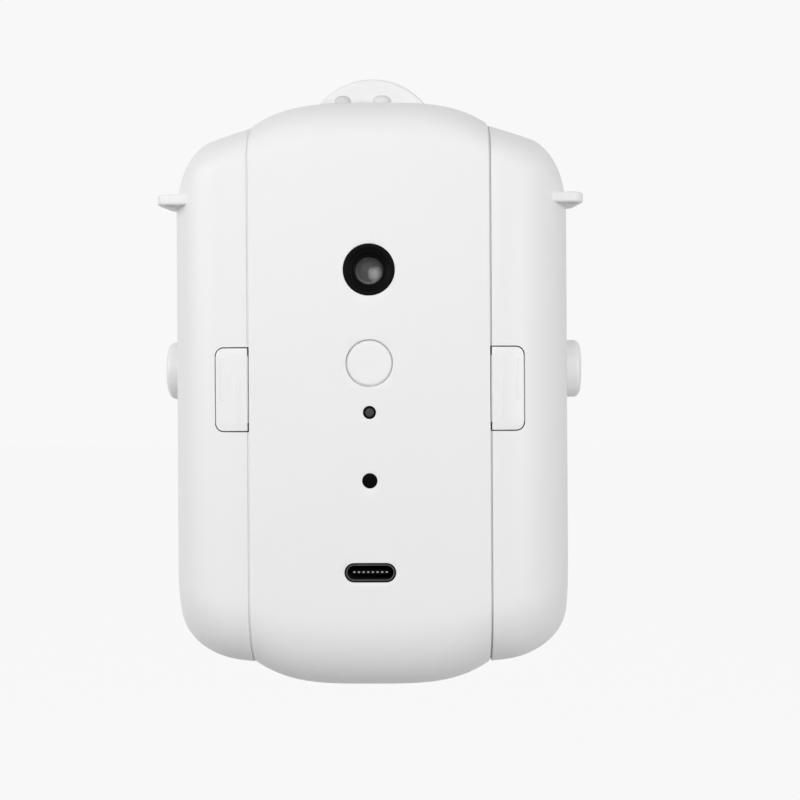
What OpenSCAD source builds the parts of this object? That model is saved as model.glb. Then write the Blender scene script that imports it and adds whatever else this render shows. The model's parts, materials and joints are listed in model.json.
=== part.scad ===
// Smart curtain robot: a body that hangs under a curtain rail and drives along it on one rubber wheel.
// Two wings slide out of the body on guide rods. Each has a curtain eyelet, a release tab and a button.
// X runs along the rail, Y from the front panel to the back, Z up. The wheel meets the rail at the origin.

/* [Body] */
// Height of the body's top above its mid-line
body_top = 55.3; // [54.8:0.1:58]
// Depth of the body's bottom below its mid-line
body_bottom = 54.1; // [52.6:0.1:58]
// Depth of the body from front to back
body_depth = 50; // [46:0.5:56]
// Width of the centre body between its seams
centre_w = 43.2; // [42.8:0.2:48]
// Width over both wings, without the side buttons
overall_w = 73; // [71:0.2:80]
// Wall of the centre shell and the wings
wall = 2; // [1.6:0.1:2.2]
// Wall at the two sides of the centre shell
side_wall = 1.6; // [1.4:0.1:1.8]
// Gap between the centre body and a wing
seam_gap = 0.3; // [0.2:0.05:0.5]
// How far the top falls from the middle to a seam
top_drop = 4; // [3:0.1:5]
// How far the bottom rises from the middle to a seam
bottom_rise = 4.2; // [3:0.1:5.5]
// How far a wing's top lies below the centre body at the seam
wing_notch = 0.5; // [0.3:0.1:1.5]
// How far a wing can slide out
wing_travel = 10; // [4:0.5:11]

/* [Drive wheel] */
// Outer radius of the tyre
wheel_r = 13.2; // [12.8:0.1:13.9]
// Width of the tyre
wheel_w = 10; // [8:0.2:10.4]
// Thickness of the tyre's rubber
tyre_t = 2.4; // [1.6:0.1:4]
// How far the wheel stands above the body's top
wheel_proud = 5.2; // [4.6:0.1:5.4]
// Radius of the wheel's shaft
shaft_r = 1.5; // [1.2:0.05:1.6]

/* [Front panel] */
// Height of the light sensor above the mid-line
sensor_z = 22; // [20:0.2:24]
// Radius of the sensor's black ring
sensor_r = 4.6; // [4:0.1:5]
// Radius of the sensor's lens
lens_r = 2.55; // [2:0.05:2.8]
// Height of the button above the mid-line
button_z = 5.3; // [4:0.1:7]
// Radius of the button
button_r = 4; // [3.5:0.1:4.4]
// How far the button is pressed
button_travel = 0.5; // [0.3:0.05:0.6]
// Height of the indicator above the mid-line
led_z = -3.5; // [-4.5:0.1:-2.5]
// Radius of the indicator
led_r = 1.12; // [0.9:0.02:1.3]
// Height of the dark receiver window above the mid-line
receiver_z = -15.7; // [-18:0.1:-13]
// Radius of the receiver window
receiver_r = 1.32; // [1:0.02:1.6]
// Height of the charging inlet above the mid-line
usb_z = -32.1; // [-33:0.1:-30]
// Width of the charging inlet's metal shell
usb_w = 8.94; // [8.9:0.01:9]
// Height of the charging inlet's metal shell
usb_h = 3.16; // [3.1:0.01:3.26]

/* [Wings] */
// Width of a release tab
tab_w = 5.7; // [5:0.1:6.5]
// Height of a release tab
tab_h = 14.8; // [12:0.2:17]
// Height of a release tab's middle above the mid-line
tab_z = 0.7; // [-1:0.1:2]
// How far a release tab is pressed
tab_travel = 1.2; // [0.6:0.1:1.5]
// Radius of a side button
side_button_r = 5.55; // [4.8:0.05:5.8]
// How far a side button stands out of its wing
side_button_proud = 3.5; // [2.4:0.1:3.8]
// How far a side button is pressed
side_button_travel = 1.8; // [1:0.1:1.9]
// Height of a side button above the mid-line
side_button_z = 4.7; // [3:0.1:6]
// Radius of a curtain eyelet's hole
eyelet_hole_r = 1.25; // [1:0.05:1.3]
// Thickness of a curtain eyelet
eyelet_t = 1.9; // [1.5:0.1:2.5]
// Height of a curtain eyelet above the mid-line
eyelet_z = 35.5; // [35:0.1:37]
// Radius of a guide rod
rod_r = 2; // [1.6:0.05:2.2]

/* [Inside] */
// Radius of a battery cell
cell_r = 9.2; // [8.8:0.05:9.3]
// Length of a battery cell
cell_len = 50; // [46:0.5:51]
// Module of the gear teeth
gear_module = 0.5; // [0.48:0.01:0.5]
// Length of the motor without its gearhead
motor_len = 12; // [10:0.5:12]
// Width of the motor across its round sides
motor_w = 12; // [11:0.2:12.4]
// Height of the motor across its flats
motor_h = 10; // [9:0.2:10]
// Thickness of the circuit board
pcb_t = 1.6; // [1:0.1:1.6]

/* [Fits] */
// Radial clearance of a shaft that turns or slides in a bore
running_fit = 0.04; // [0.02:0.01:0.08]
// Gap around the buttons and tabs
button_gap = 0.22; // [0.15:0.01:0.3]
// Gap between a fixed piece and what it sits beside
seat_gap = 0.2; // [0.1:0.05:0.25]
// Gap of a fixed piece in its hole and under its flange
trim_fit = 0.05; // [0.02:0.01:0.08]

/* [Hidden] */
$fn = 48;
side_names = ["left", "right"];

white = [0.93, 0.93, 0.93];
pale_grey = [0.8, 0.8, 0.8];
black = [0.03, 0.03, 0.03];
steel = [0.7, 0.71, 0.72];
brass = [0.78, 0.62, 0.3];
amber = [0.93, 0.9, 0.82];
rubber_white = [0.88, 0.88, 0.87];
eps = 0.01;

// Outline of the body seen from the side: half sizes of its four elliptical corners, along Y and Z
front_top_edge = [22, 10];
front_bottom_edge = [12.5, 13.5];
back_bottom_edge = [10, 12];
back_top_edge = [16, 9];
corner_steps = 8;
drop_power = 3.6;
panel_crown = 0.4;

// How far a wing's outline falls from the seam to its end
wing_top_fall = 4.5;
wing_bottom_fall = 1.5;
wing_depth_fall = 0.5;
wing_steps = 9;
centre_steps = 12;

// Main planes
half_d = body_depth / 2;
seam_x = centre_w / 2;
wing_x0 = seam_x + seam_gap;
wing_x1 = overall_w / 2;
inner_side_x = seam_x - side_wall;
wing_w = wing_x1 - wing_x0;
front_y = -half_d;
inner_front_y = front_y + wall;
inner_back_y = half_d - wall;
slot_gap = 0.8;
split_y = wheel_w / 2 + slot_gap;
crown_z = body_top + wheel_proud;
reach = body_top + body_bottom;

// Rounded ends of a wing seen from the front and from above: half sizes along X and across
wing_top_turn = [0.452 * wing_w, 8.7];
wing_bottom_turn = [0.83 * wing_w, 8];
wing_depth_turn = [0.89 * wing_w, 13];

// Drive train: teeth of each gear, and the heights of its four axes
output_teeth = 18;
small_teeth_b = 14;
big_teeth = 21;
small_teeth_a = 12;
pinion_teeth = 12;
axis_z = crown_z - wheel_r;
axis_b_z = axis_z - gear_module * (output_teeth + small_teeth_b) / 2;
axis_a_z = axis_b_z - gear_module * (big_teeth + small_teeth_a) / 2;
motor_z = axis_a_z - gear_module * (big_teeth + pinion_teeth) / 2;
gear_side_gap = 0.4;
backlash = 0.1;
addendum = 0.8;
dedendum = 1.2;
pressure_angle = 20;
axle_r = 1;

// Chassis plates
plate_t = 1.8;
plate_y0 = split_y + 0.8;
plate_y1 = plate_y0 + plate_t;
front_plate_t = 1.6;
front_plate_y1 = -wheel_w / 2 - 2;
front_plate_y0 = front_plate_y1 - front_plate_t;
web_t = 1.6;
web_x = wheel_r + 1;
chassis_half_w = web_x + web_t;
web_z0 = axis_z - 7;
web_z1 = axis_z + 1;
chassis_top = body_top - wall - 2.8;
gearbox_t = 1.5;
gearbox_back_room = 2.1;
gearbox_y0 = inner_back_y - gearbox_back_room - gearbox_t;
gear_end_gap = 0.6;
gear_w = (gearbox_y0 - plate_y1 - 2 * gear_end_gap - 2 * gear_side_gap) / 3;
gear_y = [for (k = [0:2]) plate_y1 + gear_end_gap + k * (gear_w + gear_side_gap)];
gearbox_post_r = 2;
gearbox_posts = [for (sx = [-1, 1]) for (z = [motor_z - 3, axis_b_z + 3]) [sx * 8.4, z]];
bush_r = shaft_r + 1;
bush_flange_r = bush_r + 0.8;
bush_flange_t = 0.6;
shaft_end_gap = 0.5;

// Motor
motor_shaft_r = 1.5;
motor_screw_x = 4.5;
motor_shaft_seat = 4;

// Batteries
cell_y = inner_back_y - 0.4 - cell_r;
cell_x = cell_r + 0.2;
cell_z0 = 10.3 - body_bottom;
cell_z1 = cell_z0 + cell_len;
cell_nub_r = 2.75;
cell_nub_h = 1;
contact_t = 0.4;
holder_t = 1.5;
holder_half_w = 2 * cell_r - 0.4;
holder_y0 = cell_y - cell_r - 0.3 - holder_t;
holder_y1 = cell_y + cell_r - 2;
holder_z0 = cell_z0 - contact_t - holder_t;
holder_z1 = cell_z1 + contact_t + holder_t;

// Case screws: two at the top clamp the chassis, one at the bottom
case_screw_r = 1.25;
case_head_r = 2.2;
case_head_h = 1.8;
case_post_r = 2.8;
case_screw_x = inner_side_x - 3.6;
case_screw_z = axis_z - 10;
low_screw_z = holder_z0 - seat_gap - case_post_r;
case_head_y = half_d - 3.5;
top_boss_y0 = -5;
low_head_y = half_d - 5.2;
low_boss_y0 = -6;

// Circuit board and what stands on it
pcb_y0 = inner_front_y + 6;
pcb_y1 = pcb_y0 + pcb_t;
motor_gap = 1;
gearhead_y0 = pcb_y1 + motor_gap + motor_len;
pcb_half_w = 16.5;
pcb_z0 = -38;
pcb_z1 = 28;
pcb_boss_r = 2.4;
pcb_screw_r = 0.9;
pcb_screw_len = 6;
pcb_screws_at = [for (sx = [-1, 1]) for (z = [pcb_z0 + 5, pcb_z1 - 3]) [sx * (pcb_half_w - 3), z]];
switch_w = 6;
switch_h = 3.5;
plunger_r = 1.7;
plunger_seat = 1.2;
plunger_proud = 0.5;
button_flange_r = button_r + 1;
button_flange_t = 0.8;
button_stem_r = 1.5;
chip_h = 1.2;
chip_w = 2.4;
bezel_flange_r = sensor_r + 1;
bezel_flange_t = 0.8;
flange_y = inner_front_y + trim_fit;
lens_recess = 1.5;
lens_t = 1.4;
lens_ledge = 0.4;
lens_sag = 0.6;
lens_steps = 6;
sensor_chip_w = 4;
sensor_chip_h = 1.5;
tube_wall = 0.8;
usb_shell_t = 0.3;
usb_recess = 0.5;
usb_gap = 0.15;
usb_tongue = [6.7, 0.7];
usb_tongue_recess = 0.8;
usb_base_t = 1.2;

// Small heads on top, in front of the wheel
top_head_y = front_plate_y0 - 1.2;
top_screw_x = -5.3;
top_pin_x = 2.1;
top_seat_z = body_top - 0.9;
top_head_h = 1.8;
top_screw_head_r = 1.55;
top_pin_head_r = 1.75;
top_stem_r = 0.9;
top_boss_z0 = axis_z - 1;
top_boss_w = 4;

// Wing pieces, for the right side
plate_gap = 0.15;
wing_plate_t = 1.5;
wing_plate_x1 = wing_x0 + wing_plate_t;
rod_y = -6;
rod_zs = [10, -34];
rod_engaged = wing_travel + 6;
rod_boss_r = rod_r + 1.6;
rod_boss_len = 3.6;
rod_seat = 0.02;
rod_bush_r = rod_r + 1;
rod_bush_flange_r = rod_bush_r + 1;
rod_bush_flange_t = 1;
rod_bush_len = 5;
wing_screw_r = 0.9;
wing_screw_head_r = 1.9;
wing_screw_head_h = 1;
wing_screw_len = 7;
wing_post_r = 2.4;
wing_posts = [[9, 24], [9, -27]];
tab_x1 = wing_x0 + tab_w;
tab_corner_r = 1.4;
tab_back_y = front_y + 4.2;
tab_flange_t = 1.2;
tab_flange_out = 1;
tab_flange_y1 = tab_back_y + tab_flange_t;
tab_nose_len = 1.2;
tab_nose_h = 3.2;
tab_pocket_depth = side_wall - 0.4;
tab_spring_r = 1.8;
tab_spring_wall = 0.6;
tab_spring_len = 5;
tab_spring_x = wing_plate_x1 + tab_spring_r + 0.4;
tab_shelf_t = 2;
tab_rib_w = 0.35;
tab_rib_pitch = 1.1;
tab_rib_depth = 0.15;
tab_rib_count = 3;
side_button_edge = 1.2;
side_flange_r = side_button_r + 1.1;
side_flange_t = 1.2;
side_flange_x1 = wing_x1 - wall - seat_gap;
side_flange_x0 = side_flange_x1 - side_flange_t;
side_stem_r = 2;
side_guide_r = 4;
side_guide_x1 = side_flange_x0 - side_button_travel - 1.6;
side_stem_x0 = wing_plate_x1 + side_button_travel + 0.5;
side_spring_wall = 0.8;
eyelet_y = -17.5;
eyelet_tip_r = 2.3;
eyelet_hole_x = wing_x1 + seat_gap;
eyelet_back_r = 3.5;
eyelet_back = [eyelet_hole_x - 2.1, 5.7];
eyelet_root_w = eyelet_tip_r + eyelet_back[1] + eyelet_back_r;
eyelet_root_x = wing_x1 - 4;

// Moves a piece from the body's mid-line frame to the frame of the wheel's contact with the rail
module hung() {
    translate([0, 0, -crown_z]) children();
}

// Makes the right-hand piece, mirrored for the left side
module on_side(side) {
    hung() mirror([side == "left" ? 1 : 0, 0, 0]) children();
}

// A cylinder along Y from y0 to y1, and one along X from x0 to x1
module along_y(r, y0, y1) {
    translate([0, y1, 0]) rotate([90, 0, 0]) cylinder(r = r, h = y1 - y0);
}

module along_x(r, x0, x1) {
    translate([x0, 0, 0]) rotate([0, 90, 0]) cylinder(r = r, h = x1 - x0);
}

module block(low, high) {
    translate(low) cube(high - low);
}

// One quarter of an ellipse, as points from angle a0
function corner(centre, half, a0) = [for (i = [0:corner_steps])
    let (a = a0 + 90 * i / corner_steps) [centre[0] + half[0] * cos(a), centre[1] + half[1] * sin(a)]];

// The side outline drawn in by inset
function outline(inset) =
    let (d = half_d - inset, t = body_top - inset, b = body_bottom - inset, in = [inset, inset])
    let (bt = back_top_edge - in, ft = front_top_edge - in)
    let (fb = front_bottom_edge - in, bb = back_bottom_edge - in)
    concat(
        corner([d - bt[0], t - bt[1]], bt, 0), corner([ft[0] - d, t - ft[1]], ft, 90),
        corner([fb[0] - d, fb[1] - b], fb, 180), corner([d - bb[0], bb[1] - b], bb, 270));

// How far a rounded end has turned away at x: 0 where it starts, 1 at the end
function turned(x, end, length) =
    let (t = min(1, max(0, (x - end + length) / length))) 1 - sqrt(1 - t * t);

function centre_depth(x) = half_d - panel_crown * pow(abs(x) / seam_x, 2);
function centre_top(x) = body_top - top_drop * pow(abs(x) / seam_x, drop_power);
function centre_bottom(x) = body_bottom - bottom_rise * pow(abs(x) / seam_x, drop_power);
function wing_share(x) = (x - wing_x0) / (wing_x1 - wing_x0);
function wing_height(x, start, fall, turn, inset) =
    start - inset - fall * wing_share(x) - (turn[1] - inset) * turned(x, wing_x1 - inset, turn[0] - inset);
function wing_depth(x, inset) =
    wing_height(x, half_d - panel_crown, wing_depth_fall, wing_depth_turn, inset);
function wing_top(x, inset) =
    wing_height(x, body_top - top_drop - wing_notch, wing_top_fall, wing_top_turn, inset);
function wing_bottom(x, inset) =
    wing_height(x, body_bottom - bottom_rise, wing_bottom_fall, wing_bottom_turn, inset);

// A solid through side outlines at each x, each stretched to its own depth, top and bottom
module loft(xs, depths, tops, bottoms, inset) {
    ring = outline(inset);
    n = len(ring);
    last = len(xs) - 1;
    points = [for (k = [0:last]) for (p = ring) [
        xs[k],
        p[0] * depths[k] / (half_d - inset),
        p[1] * (p[1] > 0 ? tops[k] / (body_top - inset) : bottoms[k] / (body_bottom - inset))]];
    skin = [for (k = [0:last - 1]) for (i = [0:n - 1])
        let (a = k * n + i, b = k * n + (i + 1) % n)
        each [[a, a + n, b + n], [a, b + n, b]]];
    caps = [[for (i = [0:n - 1]) i], [for (i = [n - 1:-1:0]) last * n + i]];
    polyhedron(points, concat(caps, skin));
}

module centre_solid(inset, half_w) {
    xs = [for (k = [0:centre_steps]) half_w * sin(90 * (2 * k / centre_steps - 1))];
    loft(xs, [for (x = xs) centre_depth(x) - inset], [for (x = xs) centre_top(x) - inset],
        [for (x = xs) centre_bottom(x) - inset], inset);
}

module wing_solid(inset, x0) {
    turn = wing_depth_turn[0] - inset;
    start = wing_x1 - inset - turn;
    xs = concat([x0], [for (k = [0:wing_steps]) start + turn * sin(90 * k / wing_steps)]);
    loft(xs, [for (x = xs) wing_depth(x, inset)], [for (x = xs) wing_top(x, inset)],
        [for (x = xs) wing_bottom(x, inset)], inset);
}

module centre_shell() {
    difference() {
        centre_solid(0, seam_x);
        centre_solid(wall, inner_side_x);
    }
}

// Openings of the front panel

module usb_outline(w, h) {
    hull() for (sx = [-1, 1]) translate([sx * (w - h) / 2, 0]) circle(d = h, $fn = 32);
}

module usb_bar(w, h, y0, y1) {
    translate([0, y1, usb_z]) rotate([90, 0, 0]) linear_extrude(y1 - y0) usb_outline(w, h);
}

module at_front(z) {
    translate([0, 0, z]) children();
}

module panel_openings() {
    at_front(sensor_z) along_y(sensor_r + trim_fit, front_y - 1, inner_front_y + 1);
    at_front(button_z) along_y(button_r + button_gap, front_y - 1, inner_front_y + 1);
    at_front(led_z) along_y(led_r + trim_fit, front_y - 1, inner_front_y + 1);
    at_front(receiver_z) along_y(receiver_r + trim_fit, front_y - 1, inner_front_y + 1);
    usb_bar(usb_w + 2 * usb_gap, usb_h + 2 * usb_gap, front_y - 1, inner_front_y + 3);
}

module rod_holes() {
    for (sx = [-1, 1]) for (z = rod_zs)
        translate([0, rod_y, z]) mirror([sx < 0 ? 1 : 0, 0, 0])
            along_x(rod_bush_r, inner_side_x - 1, seam_x + 1);
}

module latch_pockets() {
    for (sx = [-1, 1]) mirror([sx < 0 ? 1 : 0, 0, 0])
        block([seam_x - tab_pocket_depth, tab_back_y - seat_gap, tab_z - tab_nose_h / 2 - seat_gap],
            [seam_x + 1, tab_flange_y1 + tab_travel + seat_gap, tab_z + tab_nose_h / 2 + seat_gap]);
}

module top_seats() {
    for (x = [top_screw_x, top_pin_x]) translate([x, top_head_y, 0]) {
        translate([0, 0, top_boss_z0]) cylinder(r = top_stem_r + 0.1, h = reach);
        translate([0, 0, top_seat_z]) cylinder(r = top_pin_head_r + 0.25, h = reach);
    }
}

// Boss of a top case screw: it joins the side wall and stops short of the back cover's wall
module case_boss() {
    low = [case_screw_x - case_post_r, top_boss_y0, case_screw_z - case_post_r];
    block(low, [inner_side_x + side_wall / 2, split_y, case_screw_z + case_post_r]);
    block(low, [inner_side_x - seat_gap, plate_y0, case_screw_z + case_post_r]);
}

module front_cover() {
    hung() color(white) difference() {
        union() {
            intersection() {
                centre_shell();
                block([-reach, -reach, -reach], [reach, split_y, reach]);
            }
            for (p = pcb_screws_at) translate([p[0], 0, p[1]])
                along_y(pcb_boss_r, inner_front_y - 0.8, pcb_y0);
            for (sx = [-1, 1]) mirror([sx < 0 ? 1 : 0, 0, 0])
                case_boss();
            intersection() {
                centre_solid(wall / 2, inner_side_x);
                block([-case_post_r, low_boss_y0, -reach], [case_post_r, split_y, low_screw_z + case_post_r]);
            }
        }
        block([-wheel_r - slot_gap, -wheel_w / 2 - slot_gap, axis_z], [wheel_r + slot_gap, split_y + 1, reach * 2]);
        panel_openings();
        rod_holes();
        latch_pockets();
        top_seats();
        for (p = pcb_screws_at) translate([p[0], 0, p[1]])
            along_y(pcb_screw_r, pcb_y1 - pcb_screw_len, pcb_y0 + 1);
        for (sx = [-1, 1]) translate([sx * case_screw_x, 0, case_screw_z])
            along_y(case_screw_r, top_boss_y0 + 1.5, plate_y0 + 1);
        translate([0, 0, low_screw_z]) along_y(case_screw_r, low_boss_y0 + 1.5, split_y + 1);
    }
}

module back_cover() {
    hung() color(white) difference() {
        union() {
            intersection() {
                centre_shell();
                block([-reach, split_y, -reach], [reach, reach, reach]);
            }
            for (sx = [-1, 1]) translate([sx * case_screw_x, 0, case_screw_z])
                along_y(case_post_r, plate_y1, inner_back_y + 0.8);
            intersection() {
                centre_solid(wall / 2, inner_side_x);
                block([-case_post_r, split_y, -reach], [case_post_r, low_head_y + 2, low_screw_z + case_post_r]);
            }
        }
        for (sx = [-1, 1]) translate([sx * case_screw_x, 0, case_screw_z]) {
            along_y(case_screw_r + 0.1, plate_y1 - 1, half_d);
            along_y(case_head_r + 0.2, case_head_y, half_d + 1);
        }
        translate([0, 0, low_screw_z]) {
            along_y(case_screw_r + 0.1, split_y - 1, half_d);
            along_y(case_head_r + 0.2, low_head_y, half_d + 1);
        }
    }
}

// A screw along Y whose head faces +Y and seats at y_seat
module screw_y(r, head_r, head_h, y_end, y_seat) {
    difference() {
        union() {
            along_y(r, y_end, y_seat + eps);
            along_y(head_r, y_seat, y_seat + head_h);
        }
        translate([0, y_seat + head_h + eps, 0]) rotate([90, 0, 0])
            cylinder(r = head_r * 0.5, h = head_h * 0.6, $fn = 6);
    }
}

module case_screws() {
    hung() color(steel) {
        for (sx = [-1, 1]) translate([sx * case_screw_x, 0, case_screw_z])
            screw_y(case_screw_r, case_head_r, case_head_h, top_boss_y0 + 2, case_head_y);
        translate([0, 0, low_screw_z])
            screw_y(case_screw_r, case_head_r, case_head_h, low_boss_y0 + 2, low_head_y);
    }
}

// Frame that carries the wheel, the motor and the gears

module chassis() {
    hung() color(pale_grey) difference() {
        union() {
            block([-chassis_half_w, plate_y0, holder_z1 + seat_gap], [chassis_half_w, plate_y1, chassis_top]);
            for (sx = [-1, 1]) mirror([sx < 0 ? 1 : 0, 0, 0]) {
                block([0, plate_y0, case_screw_z - case_post_r],
                    [case_screw_x + case_post_r, plate_y1, case_screw_z + case_post_r]);
                block([web_x, front_plate_y0, web_z0], [chassis_half_w, plate_y0 + eps, web_z1]);
            }
            block([-chassis_half_w, front_plate_y0, web_z0], [chassis_half_w, front_plate_y1, chassis_top - 0.6]);
            for (x = [top_screw_x, top_pin_x])
                block([x - top_boss_w / 2, top_head_y - 2, top_boss_z0],
                    [x + top_boss_w / 2, front_plate_y0 + eps, chassis_top - 0.6]);
            for (p = gearbox_posts) translate([p[0], 0, p[1]])
                along_y(gearbox_post_r, plate_y1 - eps, gearbox_y0);
        }
        translate([0, 0, axis_z]) along_y(bush_r, front_plate_y0 - 1, plate_y1 + 1);
        for (z = [axis_b_z, axis_a_z]) translate([0, 0, z]) along_y(axle_r, plate_y0 - 1, plate_y1 + 1);
        translate([0, 0, motor_z]) along_y(motor_shaft_r + 0.5, plate_y0 - 1, plate_y1 + 1);
        for (sx = [-1, 1]) {
            translate([sx * motor_screw_x, 0, motor_z]) along_y(0.9, plate_y0 - 1, plate_y1 + 1);
            translate([sx * case_screw_x, 0, case_screw_z])
                along_y(case_screw_r + 0.1, plate_y0 - 1, plate_y1 + 1);
        }
        for (p = gearbox_posts) translate([p[0], 0, p[1]]) along_y(0.8, plate_y1 + 2, gearbox_y0 + 1);
        for (x = [top_screw_x, top_pin_x]) translate([x, top_head_y, top_boss_z0 + 1])
            cylinder(r = top_stem_r, h = reach);
    }
}

module gearbox_cover() {
    hung() color(pale_grey) difference() {
        block([-gearbox_posts[3][0] - gearbox_post_r, gearbox_y0, gearbox_posts[0][1] - gearbox_post_r],
            [gearbox_posts[3][0] + gearbox_post_r, gearbox_y0 + gearbox_t, gearbox_posts[1][1] + gearbox_post_r]);
        for (z = [axis_b_z, axis_a_z]) translate([0, 0, z]) along_y(axle_r, gearbox_y0 - 1, reach);
        for (p = gearbox_posts) translate([p[0], 0, p[1]]) along_y(0.9, gearbox_y0 - 1, reach);
    }
}

module gearbox_screws() {
    hung() color(steel) for (p = gearbox_posts) translate([p[0], 0, p[1]])
        screw_y(0.8, 1.5, 0.9, plate_y1 + 2.5, gearbox_y0 + gearbox_t);
}

module gear_axles() {
    hung() color(steel) for (z = [axis_b_z, axis_a_z]) translate([0, 0, z])
        along_y(axle_r, plate_y0, gearbox_y0 + gearbox_t);
}

module shaft_bush(y0, y1, flange_y0) {
    difference() {
        union() {
            along_y(bush_r, y0, y1);
            along_y(bush_flange_r, flange_y0, flange_y0 + bush_flange_t);
        }
        along_y(shaft_r + running_fit, y0 - 2, y1 + 2);
    }
}

module shaft_bushes() {
    hung() color(brass) translate([0, 0, axis_z]) {
        shaft_bush(front_plate_y0, front_plate_y1 + bush_flange_t, front_plate_y1);
        shaft_bush(plate_y0 - bush_flange_t, plate_y1, plate_y0 - bush_flange_t);
    }
}

// Motor with its gearhead and shaft

module motor_can() {
    hung() color(steel) translate([0, 0, motor_z]) intersection() {
        along_y(motor_w / 2, gearhead_y0 - motor_len, gearhead_y0);
        block([-reach, -reach, -motor_h / 2], [reach, reach, motor_h / 2]);
    }
}

module motor_gearhead() {
    hung() color(brass) translate([0, 0, motor_z]) difference() {
        block([-motor_w / 2, gearhead_y0, -motor_h / 2], [motor_w / 2, plate_y0, motor_h / 2]);
        along_y(motor_shaft_r + running_fit, plate_y0 - motor_shaft_seat - 0.3, plate_y0 + 1);
        for (sx = [-1, 1]) translate([sx * motor_screw_x, 0, 0]) along_y(0.8, plate_y0 - 2.5, plate_y0 + 1);
    }
}

module motor_screws() {
    hung() color(steel) for (sx = [-1, 1]) translate([sx * motor_screw_x, 0, motor_z])
        screw_y(0.8, 1.4, 0.8, plate_y0 - 2, plate_y1);
}

module motor_shaft() {
    hung() color(steel) translate([0, 0, motor_z])
        along_y(motor_shaft_r, plate_y0 - motor_shaft_seat, gear_y[2] + gear_w);
}

// Involute spur gears

function involute(angle) = tan(angle) - angle * PI / 180;
function half_tooth(teeth, radius) =
    let (r = gear_module * teeth / 2, thick = PI * gear_module / 2 - backlash)
    let (here = acos(min(1, r * cos(pressure_angle) / radius)))
    (thick / 2 / r + involute(pressure_angle) - involute(here)) * 180 / PI;
function spoke(radius, angle) = [radius * cos(angle), radius * sin(angle)];
function gear_points(teeth, tooth_at) =
    let (r = gear_module * teeth / 2, base = r * cos(pressure_angle))
    let (tip = r + addendum * gear_module, root = r - dedendum * gear_module)
    let (foot = max(base, root), flank = [for (k = [0:3]) foot + (tip - foot) * k / 3])
    [for (i = [0:teeth - 1]) let (mid = tooth_at + 360 * i / teeth) each concat(
        [spoke(root, mid - half_tooth(teeth, foot))],
        [for (q = flank) spoke(q, mid - half_tooth(teeth, q))],
        [for (k = [3:-1:0]) spoke(flank[k], mid + half_tooth(teeth, flank[k]))],
        [spoke(root, mid + half_tooth(teeth, foot))])];

// A gear in layer 0, 1 or 2 of the train, with a tooth pointing at the given angle
module gear(teeth, layer, tooth_at) {
    translate([0, gear_y[layer] + gear_w, 0]) rotate([90, 0, 0])
        linear_extrude(gear_w) polygon(gear_points(teeth, tooth_at));
}

module compound_gear(small, small_layer, big_layer) {
    difference() {
        union() {
            gear(small, small_layer, 90 + 180 / small);
            gear(big_teeth, big_layer, 270);
            along_y(gear_module * small / 2 - 1, gear_y[small_layer] + 1, gear_y[big_layer] + 1);
        }
        along_y(axle_r + running_fit, gear_y[0] - 1, gearbox_y0);
    }
}

module compound_gear_b() {
    hung() color(white) translate([0, 0, axis_b_z]) compound_gear(small_teeth_b, 0, 1);
}

module compound_gear_a() {
    hung() color(white) translate([0, 0, axis_a_z]) compound_gear(small_teeth_a, 1, 2);
}

module motor_pinion() {
    hung() color(brass) translate([0, 0, motor_z]) difference() {
        gear(pinion_teeth, 2, 90 + 180 / pinion_teeth);
        along_y(motor_shaft_r, gear_y[2] - 1, gearbox_y0);
    }
}

module output_gear() {
    hung() color(white) translate([0, 0, axis_z]) difference() {
        gear(output_teeth, 0, 270);
        along_y(shaft_r, gear_y[0] - 1, gearbox_y0);
    }
}

module drive_shaft() {
    hung() color(steel) translate([0, 0, axis_z])
        along_y(shaft_r, front_plate_y0 - shaft_end_gap, gear_y[0] + gear_w + shaft_end_gap);
}

// Wheel: a hub with a rubber tyre, both turned about the shaft

hub_r = wheel_r - tyre_t;
hub_boss_r = shaft_r + 2.2;
hub_recess = 0.1;
tyre_edge = 1.2;

module turned_about_y() {
    rotate([90, 0, 0]) rotate_extrude($fn = 96) children();
}

module wheel_hub() {
    hung() color(white) translate([0, 0, axis_z]) turned_about_y() polygon([
        [shaft_r, -wheel_w / 2 - 0.6], [hub_boss_r, -wheel_w / 2 - 0.6], [hub_boss_r, hub_recess - wheel_w / 2],
        [hub_r, hub_recess - wheel_w / 2], [hub_r, wheel_w / 2 - hub_recess], [hub_boss_r, wheel_w / 2 - hub_recess],
        [hub_boss_r, wheel_w / 2 + 0.6], [shaft_r, wheel_w / 2 + 0.6]]);
}

module drive_tyre() {
    edge = [for (k = [0:4]) tyre_edge * [cos(90 * k / 4), sin(90 * k / 4)]];
    side = [wheel_r - tyre_edge, wheel_w / 2 - tyre_edge];
    hung() color(rubber_white) translate([0, 0, axis_z]) turned_about_y() polygon(concat(
        [for (e = edge) side + e], [[hub_r, wheel_w / 2], [hub_r, -wheel_w / 2]],
        [for (k = [4:-1:0]) [side[0] + edge[k][0], -side[1] - edge[k][1]]]));
}

// Batteries

module battery_cells() {
    hung() color("steelblue") for (sx = [-1, 1]) translate([sx * cell_x, cell_y, cell_z0]) {
        cylinder(r = cell_r, h = cell_len - cell_nub_h);
        cylinder(r = cell_nub_r, h = cell_len);
    }
}

module battery_holder() {
    hung() color(black) {
        block([-holder_half_w, holder_y0, holder_z0], [holder_half_w, holder_y0 + holder_t, holder_z1]);
        block([-holder_half_w, holder_y0, holder_z0], [holder_half_w, holder_y1, holder_z0 + holder_t]);
        block([-holder_half_w, holder_y0, holder_z1 - holder_t], [holder_half_w, holder_y1, holder_z1]);
    }
}

module battery_contacts() {
    hung() color(steel) for (sx = [-1, 1]) for (z = [cell_z0 - contact_t, cell_z1])
        translate([sx * cell_x, cell_y, z]) block([-4, -4, 0], [4, 4, contact_t]);
}

// Circuit board

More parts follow.
